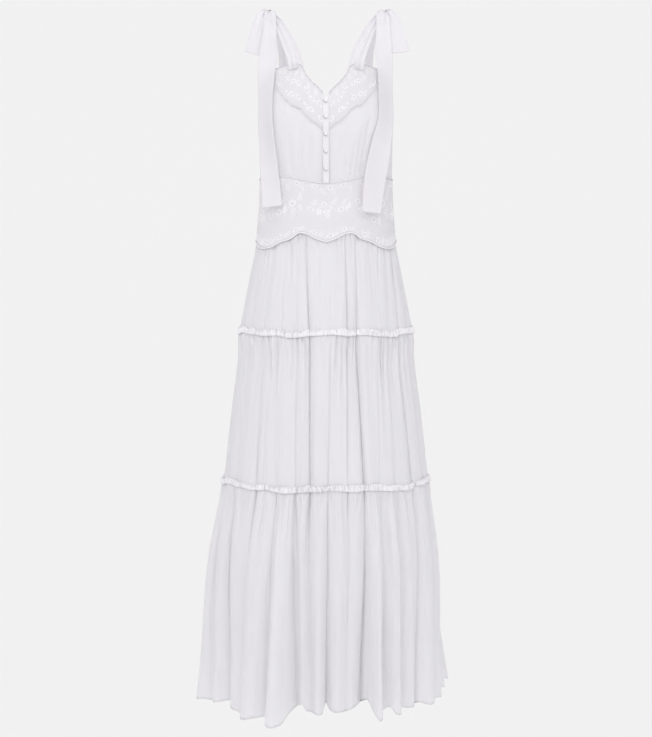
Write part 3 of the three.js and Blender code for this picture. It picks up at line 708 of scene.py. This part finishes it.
def seam_wave(turn):
    """How far a seam wanders up and down round the skirt, in mm: a few sines of the turn."""
    angle = np.radians(turn)
    return 2.0 * np.sin(5 * angle + 0.8) + 1.3 * np.sin(11 * angle + 2.0) + 0.8 * np.sin(19 * angle)


def tier_points(level, first_fold, last_fold, rows, foot, gathers, bulge):
    """A half of a tier: folds mixed from the seam above to the one below, the gathers sunk in,
    and a slight bulge below the seam where the gathered cloth springs out. The lowest tier's
    front hem also hangs in the lobes of its table."""
    q = np.linspace(first_fold, last_fold, (last_fold - first_fold) * COLUMNS_A_FOLD + 1)[None, :]
    share = rows[:, None]
    turn_top, depth_top = fold_place(q, level)
    turn_foot, depth_foot = fold_place(q, level + 1)
    turn = turn_top * (1 - share) + turn_foot * share
    depth = depth_top * (1 - share) + depth_foot * share
    if level == 0:
        top = edge_height(BAND_FOOT, turn) + TUCK_UNDER_BAND
    else:
        top = (SEAM_1, SEAM_2)[level - 1] - SEAM_GAP + seam_wave(turn_top)
    if level < 2:
        foot = foot + seam_wave(turn_foot)
    z = top + (foot - top) * share
    fall = np.broadcast_to(top - z, depth.shape)
    q_all = np.broadcast_to(q, depth.shape)
    spring = bulge * np.exp(-((fall - BULGE_FALL) / BULGE_WIDTH) ** 2)
    depth = depth + gather_sink(q_all, fall, gathers) - spring
    if level == 2:
        full = full_depth(q)
        rise = HEM_RISE * np.maximum(0, full / DEEPEST_GROOVE) + RISE_A_DEPTH * (full - depth_foot)
        z = z + rise * share ** 3
    points = section_point(SKIRT_SECTIONS, turn, z, -depth)
    if level == 2:
        ahead = np.clip(-points[..., 1] / FRONT_EASE, 0, 1)
        lobes = np.interp(points[..., 0], HEM_LOBES[:, 0], HEM_LOBES[:, 1])
        points[..., 2] += lobes * share ** 3 * ahead
    return points


# %% Three tiers, front and back
TIERS = [
    # name, rows, foot, seed, then for its gathers reach and depth, and the bulge, in mm
    ("tier_1", 46, SEAM_1, 3, (10, 110), (0.5, 3.2), 1.2),
    ("tier_2", 66, SEAM_2, 5, (14, 210), (1.2, 5.6), 2.5),
    ("tier_3", 88, HEM, 8, (14, 260), (1.2, 6.0), 2.5),
]
ROW_CROWDING = 1.35
tier_tops = {}
for level, (tier, row_count, foot, seed, reach, depth, bulge) in enumerate(TIERS):
    gathers = seam_gathers(seed, *reach, *depth)
    rows = np.linspace(0, 1, row_count) ** ROW_CROWDING
    for half, first, last in (("front", 0, FRONT_COUNT), ("back", FRONT_COUNT, FOLD_COUNT)):
        points = tier_points(level, first, last, rows, foot, gathers, bulge)
        sewn_cloth(f"{tier}_{half}_cloth", points, voile, "cotton", f"{tier}_{half}")
        tier_tops[level, half] = points[0]

# %% [markdown]
# ## The ruffle headings
# The two lower tiers are gathered a little below their top edge, so the edge stands up as a thin
# ruffle over the seam. It is a narrow strip with tight uneven pleats: flat at its stitched foot
# and waving at its free edge, leaning with the gathers.

# %% Ruffles
COLUMNS_A_PLEAT = 9
RUFFLE_ROWS = 7
RUFFLE_CLEAR = 1.8
RUFFLE_FLARE = 1.6
RUFFLE_WAVE = 4.4


def ruffle_points(foot_line, height, seed, waves, slope):
    """A ruffle on a line of points round the body: rows rise from the line, and each stands off
    by clear + flare * sin(pi v^0.65) + wave * v^0.5 * crowd * pleats, where v goes from 0 at the
    seam to 1 at the free edge. So it swells low down and rolls back to the cloth above, whose
    slope it follows. The pleats are puffs, |sin(phase / 2)|, with creases between; the phase
    runs fast where the pleats crowd and slow where the strip lies flat, and leans with v."""
    random = np.random.default_rng(seed)
    count = waves * COLUMNS_A_PLEAT + 1

    def stray(low, high, pleats):
        """A value that changes at random along the ruffle, once in so many pleats."""
        knots = waves // pleats
        return np.interp(np.arange(count), np.linspace(0, count, knots), random.uniform(low, high, knots))

    steps = np.linalg.norm(np.diff(foot_line, axis=0), axis=-1)
    length = np.concatenate([[0], np.cumsum(steps)])
    even = np.linspace(0, length[-1], count)
    line = np.stack([np.interp(even, length, foot_line[:, k]) for k in range(3)], axis=-1)
    tangent = np.gradient(line, axis=0)
    tangent /= np.linalg.norm(tangent, axis=-1, keepdims=True)
    outward = np.stack([tangent[:, 1], -tangent[:, 0], np.zeros(count)], axis=-1)
    outward /= np.linalg.norm(outward, axis=-1, keepdims=True)
    phase = 2 * np.pi * waves * np.linspace(0, 1, count) + stray(-6, 6, 4)
    tall = stray(0.7, 1.12, 3)
    crowd = stray(0.4, 1.9, 6)
    v = np.linspace(0, 1, RUFFLE_ROWS)[:, None]
    pleat = np.abs(np.sin(phase[None, :] / 2 + 1.5 * v)) - 0.55
    off = (RUFFLE_CLEAR + RUFFLE_FLARE * np.sin(np.pi * v ** 0.65)
           + RUFFLE_WAVE * v ** 0.5 * crowd * pleat - slope * height * v)
    side = 1.2 * v * np.cos(phase[None, :])
    rise = height * v * tall[None, :] - 0.5
    up = np.array([0, 0, 1.0])
    return (line[None] + off[..., None] * outward[None] + side[..., None] * tangent[None]
            + rise[..., None] * up)


RUFFLES = [
    # name, tier below it, height, seed, pleats round a half, slope of the cloth above
    ("frill_1", 1, 15, 21, 100, 0.2),
    ("frill_2", 2, 13, 22, 118, 0.1),
]
# The front half stands for the frill's node, which runs all round.
for frill, level, height, seed, waves, slope in RUFFLES:
    for half, nodes in (("front", [frill]), ("back", [])):
        points = ruffle_points(tier_tops[level, half], height, seed, waves, slope)
        sewn_cloth(f"{frill}_{half}_ruffle", points, ruffle_voile, "cotton", *nodes, thickness=0.5)

# %% [markdown]
# ## The waistband
# The band is a close embroidered cotton, cut deep and scalloped at the foot, where a thin cord
# finishes the edge. Its relief is stitched thread: small domes for petals and leaves, with tiny
# eyelets between them. Domes placed by their turn and height take the band's own curve.

# %% Band cloth
BAND_ROWS, BAND_COLUMNS = 30, 120
BAND_LIFT = 0.7


def band_points(first_turn, last_turn):
    """The waistband's ground: each row is a share of the way from the waist line down to the
    scalloped foot, on the bodice's ellipse at that height."""
    turn = np.linspace(first_turn, last_turn, BAND_COLUMNS)[None, :]
    share = np.linspace(0, 1, BAND_ROWS)[:, None]
    top = edge_height(WAIST_LINE, turn)
    foot = edge_height(BAND_FOOT, turn)
    return section_point(BODICE_SECTIONS, turn, top + (foot - top) * share, BAND_LIFT)


for half, first, last in (("front", -90, 90), ("back", 90, 270)):
    sewn_cloth(f"waistband_{half}_cloth", band_points(first, last), lace_ground, "lace",
               f"waistband_{half}", held="laid", thickness=1.0)


# %% Cords along an edge
CORD_SIDES = 8


def cord_points(path, radius, beads=0):
    """A round cord along a path: a circle at each point, across the path, that closes to a
    point at both ends. With beads its radius swells that many times along the way, as picot."""
    tangent = np.gradient(path, axis=0)
    tangent /= np.linalg.norm(tangent, axis=-1, keepdims=True)
    outward = path * [1, 1, 0]
    outward -= (outward * tangent).sum(axis=-1, keepdims=True) * tangent
    outward /= np.linalg.norm(outward, axis=-1, keepdims=True)
    across = np.cross(tangent, outward)
    size = np.full(len(path), float(radius))
    if beads:
        size *= 1 - 0.65 * np.abs(np.cos(np.pi * beads * np.linspace(0, 1, len(path)))) ** 3
    size[[0, -1]] = 0
    angle = np.linspace(0, 2 * np.pi, CORD_SIDES, endpoint=False)[None, :, None]
    ring = np.cos(angle) * outward[:, None] + np.sin(angle) * across[:, None]
    return path[:, None] + size[:, None, None] * ring


BAND_CORDS = [
    # part, edge, points round the waist, lift from the bodice, radius in mm
    ("foot", BAND_FOOT, 400, 1.6, 1.1),
    ("top", WAIST_LINE, 360, 1.4, 0.7),
]
for part, edge, count, lift, radius in BAND_CORDS:
    turn = np.linspace(-180, 180, count)
    path = section_point(BODICE_SECTIONS, turn, edge_height(edge, turn), lift)
    cord = round_piece(f"waistband_{part}_cord", cord_points(path, radius), satin_stitch)
    dress_piece(cord, "lace")

# %% Embroidery as many small domes
DOME_ACROSS = 5
DOME_ALONG = 7


def dome_template():
    """A leaf-shaped dome with length 1 along x, width 1 along y and height 1: its half width at
    a place is sin(pi s)^0.7 and its height falls off across as cos, down to the ground."""
    s = np.linspace(0, 1, DOME_ALONG)[:, None]
    t = np.linspace(-1, 1, DOME_ACROSS + 1)[None, :]
    wide = np.sin(np.pi * s) ** 0.7
    x = np.broadcast_to(s, (DOME_ALONG, DOME_ACROSS + 1))
    y = 0.5 * wide * np.sin(t * np.pi / 2)
    height = wide * np.cos(t * np.pi / 2) ** 0.8
    return np.stack([x, y, height], axis=-1)


def stitched_domes(rows):
    """Every dome's points on the flat band: rows of place across, place up, direction in
    degrees, length, width and height. Each template is sized, turned and moved."""
    template = dome_template()
    rows = np.asarray(rows, dtype=float)
    across, up, direction, length, width, height = (rows[:, k][:, None, None] for k in range(6))
    x, y = template[..., 0] * length, template[..., 1] * width
    angle = np.radians(direction)
    return np.stack([
        across + x * np.cos(angle) - y * np.sin(angle),
        up + x * np.sin(angle) + y * np.cos(angle),
        template[..., 2] * height - 0.2,
    ], axis=-1)


def aside(across, up, reach, direction):
    """The place at a distance from another, in a direction in degrees."""
    return across + reach * np.cos(np.radians(direction)), up + reach * np.sin(np.radians(direction))


def flower(across, up, size, petals, start):
    """A small open flower: petals at even turns round an eyelet, each starting 0.36 of the
    flower's size from its centre."""
    direction = start + np.arange(petals) * 360 / petals
    return [(*aside(across, up, 0.36 * size, d), d, 0.64 * size, 0.62 * size, 0.9) for d in direction]


def sprig(across, up, direction, size):
    """A stem of three leaves to each side and one at the tip. The pairs follow at 0.3 of the
    size, and each is smaller and leans out less than the one before."""
    rows = []
    for k in range(3):
        base = aside(across, up, size * 0.3 * k, direction)
        for side in (-1, 1):
            lean = direction + side * (58 - 8 * k)
            rows.append((*base, lean, size * (0.42 - 0.05 * k), size * 0.17, 0.8))
    rows.append((*aside(across, up, size * 0.85, direction), direction, size * 0.35, size * 0.16, 0.8))
    return rows


def dots(across, up, radius, size, count):
    """A ring of small round knots, at even turns on a circle."""
    places = [aside(across, up, radius, d) for d in np.arange(count) * 360 / count]
    return [(x - size / 2, y, 0, size, size, 0.9) for x, y in places]


BAND_REPEAT = 30.0


def band_motifs(width, low, high):
    """A generic sprig and flower border over a strip: a row of flowers through the middle,
    sprigs that lean from them up and down, and a row of small flowers along foot and top. Each
    motif strays a little from its place and lean, as hand-guided stitching does."""
    rows, eyes = [], []
    random = np.random.default_rng(31)
    repeats = int(round(width / BAND_REPEAT))
    pitch = width / repeats
    middle = (low + high) / 2
    for k in range(repeats):
        lean = 1 if k % 2 == 0 else -1
        stray = random.uniform(-4, 4, 4)
        tilt = random.uniform(-28, 28, 4)
        x = (k + 0.5) * pitch - width / 2 + stray[0]
        y = middle + lean * 9 + 2 * stray[1]
        rows += flower(x, y, 6.8 + 0.3 * stray[2], 6, 15 * k)
        eyes.append((x, y, 1.6))
        rows += dots(x, y, 8.0, 1.3, 10)
        rows += sprig(x + 3, y - lean * 12, -72 * lean + tilt[0], 15 + stray[3])
        rows += sprig(x + pitch * 0.46, y + lean * 2 + stray[2], 78 + tilt[1], 14)
        rows += sprig(x + pitch * 0.46, y - lean * 6, -102 + tilt[2], 14)
        for level in (low + 10, high - 10):
            side = x + pitch * 0.25 + stray[3]
            rows += flower(side, level, 6.2, 5, 9 * k)
            eyes.append((side, level, 1.2))
            rows += sprig(x + pitch * 0.55, level - 4, (60 if level < middle else -60) + tilt[3], 12)
            rows += dots(x + pitch * 0.8, level + 2, 3.0, 1.4, 8)
            eyes.append((x + pitch * 0.8, level + 2, 1.0))
        eyes.append((x + pitch * 0.3, middle - lean * 16, 1.2))
        rows += dots(x + pitch * 0.3, middle - lean * 16, 2.6, 1.2, 7)
    return rows, eyes


GIRTH_RADIUS = 118.0
STITCHED_LOW, STITCHED_HIGH = -444, -324


def onto_band(flat):
    """Flat points (across, up, out) set on the front or back of the band: across becomes a turn
    round the mean girth, up keeps its share between the band's foot and top lines."""
    turn = np.degrees(flat[..., 0] / GIRTH_RADIUS)
    share = (flat[..., 1] - STITCHED_LOW) / (STITCHED_HIGH - STITCHED_LOW)
    top = edge_height(WAIST_LINE, turn)
    foot = edge_height(BAND_FOOT, turn)
    z = foot + (top - foot) * share
    return section_point(BODICE_SECTIONS, turn, z, BAND_LIFT + flat[..., 2])


def joined(name, patches, material):
    """Many small grids of one size joined in one mesh, each mapped in its own right."""
    count, rows, columns = patches.shape[:3]
    cell = cell_corners(rows, columns, False)
    quads = (cell[None] + np.arange(count)[:, None, None] * rows * columns).reshape(-1, 4)
    uv = np.tile(cloth_uv(patches[0], False), (count, 1, 1))
    if faces_in(patches, quads):
        quads, uv = quads[:, ::-1], uv[:, ::-1]
    return new_mesh(name, patches, quads, material, uv)


def eyelet_discs(eyes):
    """A small slightly raised disc for each eyelet's dark hole: rows of place and radius become
    rings of points, radius * share out from the place."""
    across, up, radius = np.asarray(eyes, dtype=float).T[:, :, None, None]
    share = np.linspace(0, 1, 4)[:, None]
    angle = np.linspace(0, 2 * np.pi, 13)[None, :]
    x = across + radius * share * np.cos(angle)
    y = up + radius * share * np.sin(angle)
    return np.stack([x, y, np.full(x.shape, 0.25)], axis=-1)


# An eyelet's hole, too small to cut through here: a matt disc a little darker than the ground.
eyelet_shade = new_material("eyelet_hole_shadow", {"Base Color": linear("#DFDDE2"), "Roughness": 1.0})[0]
band_rows, band_eyes = band_motifs(2 * np.pi * GIRTH_RADIUS, STITCHED_LOW, STITCHED_HIGH)
for part, flat, material in (("embroidery", stitched_domes(band_rows), satin_stitch),
                             ("eyelets", eyelet_discs(band_eyes), eyelet_shade)):
    dress_piece(joined(f"waistband_{part}", onto_band(flat), material), "lace")
    print("band", part, "count:", len(flat))

# %% [markdown]
# ## The yoke, placket and buttons
# The neck is edged by an embroidered yoke with a scalloped foot, in two halves that meet at the
# button placket. It lies on the bodice, so it uses the bodice's sections, moved out a little.
# The placket is a narrow folded strip with a row of stitches down each side, and its five
# buttons are small balls covered in the same cotton.

# %% Yoke cloth
YOKE_FIRST, YOKE_LAST = 2, 59.5
YOKE_ROWS, YOKE_COLUMNS = 22, 110
YOKE_LIFT = 1.0
SCALLOPS = 9
SCALLOP_DROP = 4.0


def scallop(turn):
    """How far the yoke's foot hangs below its line: arcs, as |sin|, from point to point."""
    share = (turn - YOKE_FIRST) / (YOKE_LAST - YOKE_FIRST)
    arcs = SCALLOP_DROP * np.abs(np.sin(np.pi * SCALLOPS * share)) ** 0.7
    return arcs * np.clip(3 * (1 - share), 0, 1)


def yoke_points(side, columns, share, lift):
    """Points over a yoke half: share goes from 0 at the neck edge to 1 at the scalloped foot."""
    turn = np.linspace(YOKE_FIRST, YOKE_LAST, columns)
    top = smooth_read(FRONT_TOP, turn, 1) + 0.4
    foot = smooth_read(LACE_FOOT, turn, 1) - scallop(turn)
    return section_point(BODICE_SECTIONS, side * turn, top + (foot - top) * share, lift)


# %% Yoke embroidery
YOKE_ALONG, YOKE_DOWN = 100, 60
LAST_IN_UPPER_ROW = 5


def yoke_motifs():
    """Two rows of small flowers on a flat strip as long and deep as the yoke, and over each
    scallop a sprig from the neck edge and a ring of dots. The upper row of flowers stops where
    the yoke narrows."""
    rows, eyes = [], []
    for k in range(SCALLOPS):
        across = (k + 0.5) / SCALLOPS
        for down in (0.78, 0.42):
            if down < 0.5 and k > LAST_IN_UPPER_ROW:
                continue
            x = across * YOKE_ALONG + 1.6 * uneven(k, 9 * down)
            y = -down * YOKE_DOWN + 2.4 * uneven(k, 4 * down)
            rows += flower(x, y, 4.6, 6, 20 * k)
            eyes.append((x, y, 0.95))
        rows += sprig(across * YOKE_ALONG - 5, -8, -80, 9)
        rows += dots(across * YOKE_ALONG + 4.5, -30, 2.0, 1.1, 6)
    return rows, eyes


def onto_yoke(flat, side):
    """Flat points set on a yoke half: across becomes a share of the way round, and down a share
    of the depth, kept between the edges."""
    share = np.clip(flat[..., 0] / YOKE_ALONG, 0, 1)
    turn = YOKE_FIRST + (YOKE_LAST - YOKE_FIRST) * share
    top = smooth_read(FRONT_TOP, turn, 1)
    foot = smooth_read(LACE_FOOT, turn, 1)
    z = top + (foot - top) * np.clip(-flat[..., 1] / YOKE_DOWN, 0, 1)
    return section_point(BODICE_SECTIONS, side * turn, z, YOKE_LIFT + flat[..., 2])


# %% Yoke halves with their cords
# Looped edge thread, twisted and matt: a row of small beads, greyer than the yoke they edge. The grey is
# painted shade, for the small shadows among the loops along the neck edge.
picot_thread_painted_shade = new_material("picot_edge_thread_painted_shade", {"Base Color": linear("#D6D3DA"), "Roughness": 0.9})[0]
yoke_rows, yoke_eyes = yoke_motifs()
YOKE_RELIEF = [("embroidery", stitched_domes(yoke_rows), satin_stitch),
               ("eyelets", eyelet_discs(yoke_eyes), eyelet_shade)]
YOKE_CORDS = [
    # part, share of the depth, points along, radius in mm, beads, material
    ("foot", 1, 300, 0.8, 0, lace_ground),
    ("neck", 0, 420, 1.2, 17, picot_thread_painted_shade),
]
YOKE_CORD_LIFT = 1.3
for side, name in SIDES:
    points = yoke_points(side, YOKE_COLUMNS, np.linspace(0, 1, YOKE_ROWS)[:, None], YOKE_LIFT)
    sewn_cloth(f"lace_yoke_{name}_cloth", points, lace_ground, "lace", f"lace_yoke_{name}",
               held="laid", thickness=0.8)
    for part, flat, material in YOKE_RELIEF:
        dress_piece(joined(f"lace_yoke_{name}_{part}", onto_yoke(flat, side), material), "lace")
    for part, share, count, radius, beads, material in YOKE_CORDS:
        points = cord_points(yoke_points(side, count, share, YOKE_CORD_LIFT), radius, beads)
        dress_piece(round_piece(f"lace_yoke_{name}_{part}_cord", points, material), "lace")
print("stitched domes on each yoke half:", len(yoke_rows))

# %% Placket
# The same voile folded in three: opaque, so it stays as pale as the cloth it lies on.
placket_cotton = woven_cloth("cotton_voile_folded_placket", "#EFEDF1", "#EAE8ED", **VOILE, bump=0.3,
                             through=0.05)
PLACKET_TURN = 2.6
PLACKET_ROWS, PLACKET_COLUMNS = 60, 9
PLACKET_LIFT = 2.2
PLACKET_DOME = 0.4
STITCH_STEP = 3.0
STITCH_OFFSET = 4.6
BUST_RADIUS = 130


def placket_points():
    """The placket's strip from the neck edge to the waist, domed across as a cosine."""
    turn = np.linspace(-PLACKET_TURN, PLACKET_TURN, PLACKET_COLUMNS)[None, :]
    share = np.linspace(0, 1, PLACKET_ROWS)[:, None]
    top = edge_height(FRONT_TOP, turn) + 0.5
    foot = edge_height(WAIST_LINE, turn)
    dome = PLACKET_DOME * np.cos(turn / PLACKET_TURN * np.pi / 2)
    return section_point(BODICE_SECTIONS, turn, top + (foot - top) * share, PLACKET_LIFT + dome)


def placket_stitches():
    """Two rows of stitches, as small domes down each side of the placket."""
    z = np.arange(-174, -326, -STITCH_STEP)
    rows = [(side * STITCH_OFFSET, level, -90, 2.1, 0.6, 0.45) for side in (-1, 1) for level in z]
    flat = stitched_domes(rows)
    turn = np.degrees(np.arcsin(flat[..., 0] / BUST_RADIUS))
    return section_point(BODICE_SECTIONS, turn, flat[..., 1], PLACKET_LIFT + 0.2 + flat[..., 2])


sewn_cloth("placket_cloth", placket_points(), placket_cotton, "cotton", "placket", held="laid",
           thickness=1.2)
dress_piece(joined("placket_stitches", placket_stitches(), satin_stitch), "cotton")

# %% Covered buttons
# Painted shade: a thin matt grey cord in a crescent round each button's lower left, standing for the
# ball's shadow there.
button_shade_crescent_grey = new_material("button_painted_shade_crescent", {"Base Color": linear("#B4B1BA"), "Roughness": 0.9})[0]
BUTTON_HEIGHTS = (-171, -202, -235, -268, -302)
BUTTON_RADIUS = 4.3
BUTTON_FLAT = 0.8
BUTTON_SEAT = 1.6
SHADE_CRESCENT_POINTS = 24
SHADE_CRESCENT_RADIUS = 0.8


def seat(height):
    """How far in front of the middle the buttons are seated at a height."""
    front = smooth_read(BODICE_SECTIONS, np.array(float(height)), 2)
    return front + PLACKET_LIFT + BUTTON_SEAT


def button_points(height):
    """A ball flattened towards the body, seated on the placket: the pole's angle runs down the
    rows and the turn about it along the columns."""
    pole = np.linspace(0, np.pi, 19)[:, None]
    turn = np.linspace(0, 2 * np.pi, 28, endpoint=False)[None, :]
    x = BUTTON_RADIUS * np.sin(pole) * np.cos(turn)
    z = height + BUTTON_RADIUS * np.sin(pole) * np.sin(turn)
    y = -seat(height) - BUTTON_RADIUS * BUTTON_FLAT * np.cos(pole)
    return np.stack([x, np.broadcast_to(y, x.shape), z], axis=-1)


def shade_crescent_path(height):
    """An arc round the button's lower left, close to the placket, where the grey cord paints the ball's
    shadow.
    """
    angle = np.radians(np.linspace(150, 300, SHADE_CRESCENT_POINTS))
    reach = BUTTON_RADIUS + 0.1
    y = np.full(SHADE_CRESCENT_POINTS, -seat(height))
    return np.stack([reach * np.cos(angle), y, height + reach * np.sin(angle)], axis=-1)


# Each button: its grey crescent of painted shade, then the covered ball.
for number, height in enumerate(BUTTON_HEIGHTS, 1):
    shade_crescent = cord_points(shade_crescent_path(height), SHADE_CRESCENT_RADIUS)
    dress_piece(round_piece(f"button_{number}_loop", shade_crescent, button_shade_crescent_grey), "button")
    ball = round_piece(f"button_{number}_ball", button_points(height), button_cotton_painted_grey)
    dress_piece(ball, "button", f"button_{number}")
print("buttons:", len(BUTTON_HEIGHTS))

# %% [markdown]
# ## Straps, ties and knots
# A soft ribbon rises from each side of the front and of the back, and the two are tied at the
# shoulder. Near the knot the ribbon is bunched in lengthwise folds and further down it opens
# flat. Each strip is swept along a measured path; where it is narrower than the ribbon's true
# width, the rest of the width goes into folds, as it does on the real ribbon.

# %% Paths of the ribbons
FRONT_STRAP = [
    # x, y, z, width in mm, and yaw in degrees
    (58, -81, -108, 29, 0),
    (62, -81, -86, 28, 0),
    (70, -67, -64, 27, 0),
    (79, -49, -43, 23, 0),
    (88, -31, -24, 19, 0),
    (98, -14, -7, 16, 0),
    (109, -5, 3, 14, 0),
]
BACK_STRAP = [
    (85, 62, -176, 26, 0),
    (86, 70, -132, 23, 0),
    (85, 59, -92, 19, 0),
    (89, 43, -52, 16, 0),
    (99, 22, -16, 15, 0),
    (111, 4, 2, 14, 0),
]
RIGHT_LONG_TAIL = [
    (111, 5, 7, 20, 0),
    (111, -3, 12.5, 21, 0),
    (111, -13, 12, 22, 2),
    (110.5, -22, 3, 23, 4),
    (110.5, -28, -22, 25, 4),
    (113.7, -36, -74, 36, 10),
    (116.7, -50, -114, 38, 28),
    (118.6, -58, -165, 38, 41),
    (118.6, -63, -205, 38, 41),
    (115.3, -66, -253, 38, 34),
    (111, -71, -302, 38, 20),
    (107, -80, -351, 38, 10),
    (105, -84, -376, 39, 8),
]
LEFT_LONG_TAIL = [
    (111, 5, 7, 20, 0),
    (111, -3, 12.5, 21, 0),
    (111, -13, 12, 23, 2),
    (111.5, -22, 3, 25, 4),
    (112.5, -28, -22, 27, 4),
    (114.2, -36, -74, 38, 24),
    (116, -50, -114, 38, 38),
    (117, -58, -158, 38, 42),
    (117.5, -65, -204, 38, 36),
    (107.4, -82, -257, 41, 16),
    (102.5, -85, -284, 43, 10),
    (96.5, -90, -315, 43, 8),
    (88.6, -98, -388, 38, 12),
]
RIGHT_SHORT_TAIL = [
    (119, 4, 7, 14, 0),
    (121, -8, 12, 15, 0),
    (126, -20, 6, 16, -8),
    (131, -27, -8, 19, -20),
    (136.5, -30, -32, 27, -28),
    (143.5, -34, -75, 40, -30),
]
LEFT_SHORT_TAIL = [
    (119, 4, 7, 14, 0),
    (122, -8, 12, 15, 0),
    (129, -18, 6, 16, 0),
    (135, -21, -8, 20, 0),
    (141, -22, -32, 27, 10),
    (147, -23, -71, 38, 20),
]


# %% A ribbon along its path
RIBBON_WIDTH = 43.0
RIBBON_COLUMNS = 26
LEAST_PLEAT = 0.06
CROWN_REACH = 26


def ribbon_points(rows, side, folds, phase, count, open_after, deepest, crown):
    """A ribbon along a path. At each point the strip runs across the path, turned by yaw about
    it, and is pleated as a wave whose depth takes up the width the strip is short of; the pleats
    fade as exp(-(distance from the start / open_after)^2). Near its start the edges drop by
    crown, as over a knot. Side -1 mirrors it to the wearer's right."""
    rows = np.asarray(rows, dtype=float)
    steps = np.linalg.norm(np.diff(rows[:, :3], axis=0), axis=-1)
    length = np.concatenate([[0], np.cumsum(steps)])
    table = np.column_stack([length, rows])
    s = np.linspace(0, length[-1], count)
    centre = np.stack([smooth_read(table, s, k) for k in (1, 2, 3)], axis=-1)
    width = smooth_read(table, s, 4)[:, None]
    yaw = np.radians(smooth_read(table, s, 5))[:, None, None]
    tangent = np.gradient(centre, axis=0)
    tangent /= np.linalg.norm(tangent, axis=-1, keepdims=True)
    flat_way = np.stack([-tangent[:, 2], np.zeros(count), tangent[:, 0]], axis=-1)
    flat_way /= np.linalg.norm(flat_way, axis=-1, keepdims=True)
    out_way = np.cross(flat_way, tangent)
    out_way *= np.where(out_way[:, 1:2] > 0, -1, 1)
    turned = out_way[:, None] * np.sin(yaw) * np.sign(flat_way[:, None, :1])
    across_way = flat_way[:, None] * np.cos(yaw) - turned
    lift_way = np.cross(across_way, tangent[:, None])
    lift_way *= np.where(lift_way[..., 1:2] > 0, -1, 1)
    u = np.linspace(-1, 1, RIBBON_COLUMNS)[None, :]
    short = np.sqrt(np.maximum(RIBBON_WIDTH ** 2 - width ** 2, 0))
    fade = LEAST_PLEAT + (1 - LEAST_PLEAT) * np.exp(-(s / open_after) ** 2)[:, None]
    depth = np.minimum(short / (4 * folds), deepest) * fade
    wave = np.cos(np.pi * folds * u + phase + 0.6 * np.sin(2.2 * u)) * depth
    points = (centre[:, None] + (0.5 * width * u)[..., None] * across_way + wave[..., None] * lift_way)
    points[..., 2] -= crown * np.exp(-(s / CROWN_REACH) ** 2)[:, None] * u ** 2
    return points * [side, 1, 1]


# %% Eight ribbons
RIBBONS = [
    # node, path, side, folds, phase, points along, opens after, deepest fold, crown, in mm
    ("front_strap_left", FRONT_STRAP, 1, 1.5, 0.4, 60, 900, 2.2, 0),
    ("front_strap_right", FRONT_STRAP, -1, 1.5, 0.4, 60, 900, 2.2, 0),
    ("back_strap_left", BACK_STRAP, 1, 1.5, 1.2, 60, 900, 1.2, 0),
    ("back_strap_right", BACK_STRAP, -1, 1.5, 1.2, 60, 900, 1.2, 0),
    ("left_long_tail", LEFT_LONG_TAIL, 1, 1.2, 0.3, 170, 60, 2.0, 6.0),
    ("right_long_tail", RIGHT_LONG_TAIL, -1, 1.2, 2.8, 170, 60, 2.0, 6.0),
    ("left_short_tail", LEFT_SHORT_TAIL, 1, 1.4, 1.0, 60, 55, 2.0, 6.0),
    ("right_short_tail", RIGHT_SHORT_TAIL, -1, 1.4, 0.2, 60, 55, 2.0, 6.0),
]
for node, path, *shape in RIBBONS:
    points = ribbon_points(path, *shape)
    sewn_cloth(f"{node}_ribbon", points, ribbon_weave, "ribbon", node, thickness=0.6, inward=False)

# %% Knots
KNOT_CENTRE = (114.5, -4, 2.5)
KNOT_HALF = (13.5, 12, 9)
KNOT_ROWS, KNOT_COLUMNS = 44, 64


def knot_points(side):
    """A wrapped knot: an ellipsoid whose surface swells in three turns of ribbon that run round
    it on the slant, with a narrow dip between them."""
    pole = np.linspace(0, np.pi, KNOT_ROWS)[:, None]
    turn = np.linspace(0, 2 * np.pi, KNOT_COLUMNS, endpoint=False)[None, :]
    slant = 3 * pole + 1.2 * np.cos(turn)
    swell = 1 + 0.09 * np.abs(np.sin(slant)) ** 0.6 - 0.04
    x = KNOT_CENTRE[0] + KNOT_HALF[0] * swell * np.cos(pole)
    y = KNOT_CENTRE[1] + KNOT_HALF[1] * swell * np.sin(pole) * np.cos(turn)
    z = KNOT_CENTRE[2] + KNOT_HALF[2] * swell * np.sin(pole) * np.sin(turn)
    return np.stack([side * x, y, z], axis=-1)


for side, name in SIDES:
    knot = round_piece(f"knot_{name}_wrap", knot_points(side), ribbon_weave, mirrored=side < 0)
    dress_piece(knot, "ribbon", f"knot_{name}")
print("knot size, mm:", [2 * half for half in KNOT_HALF])
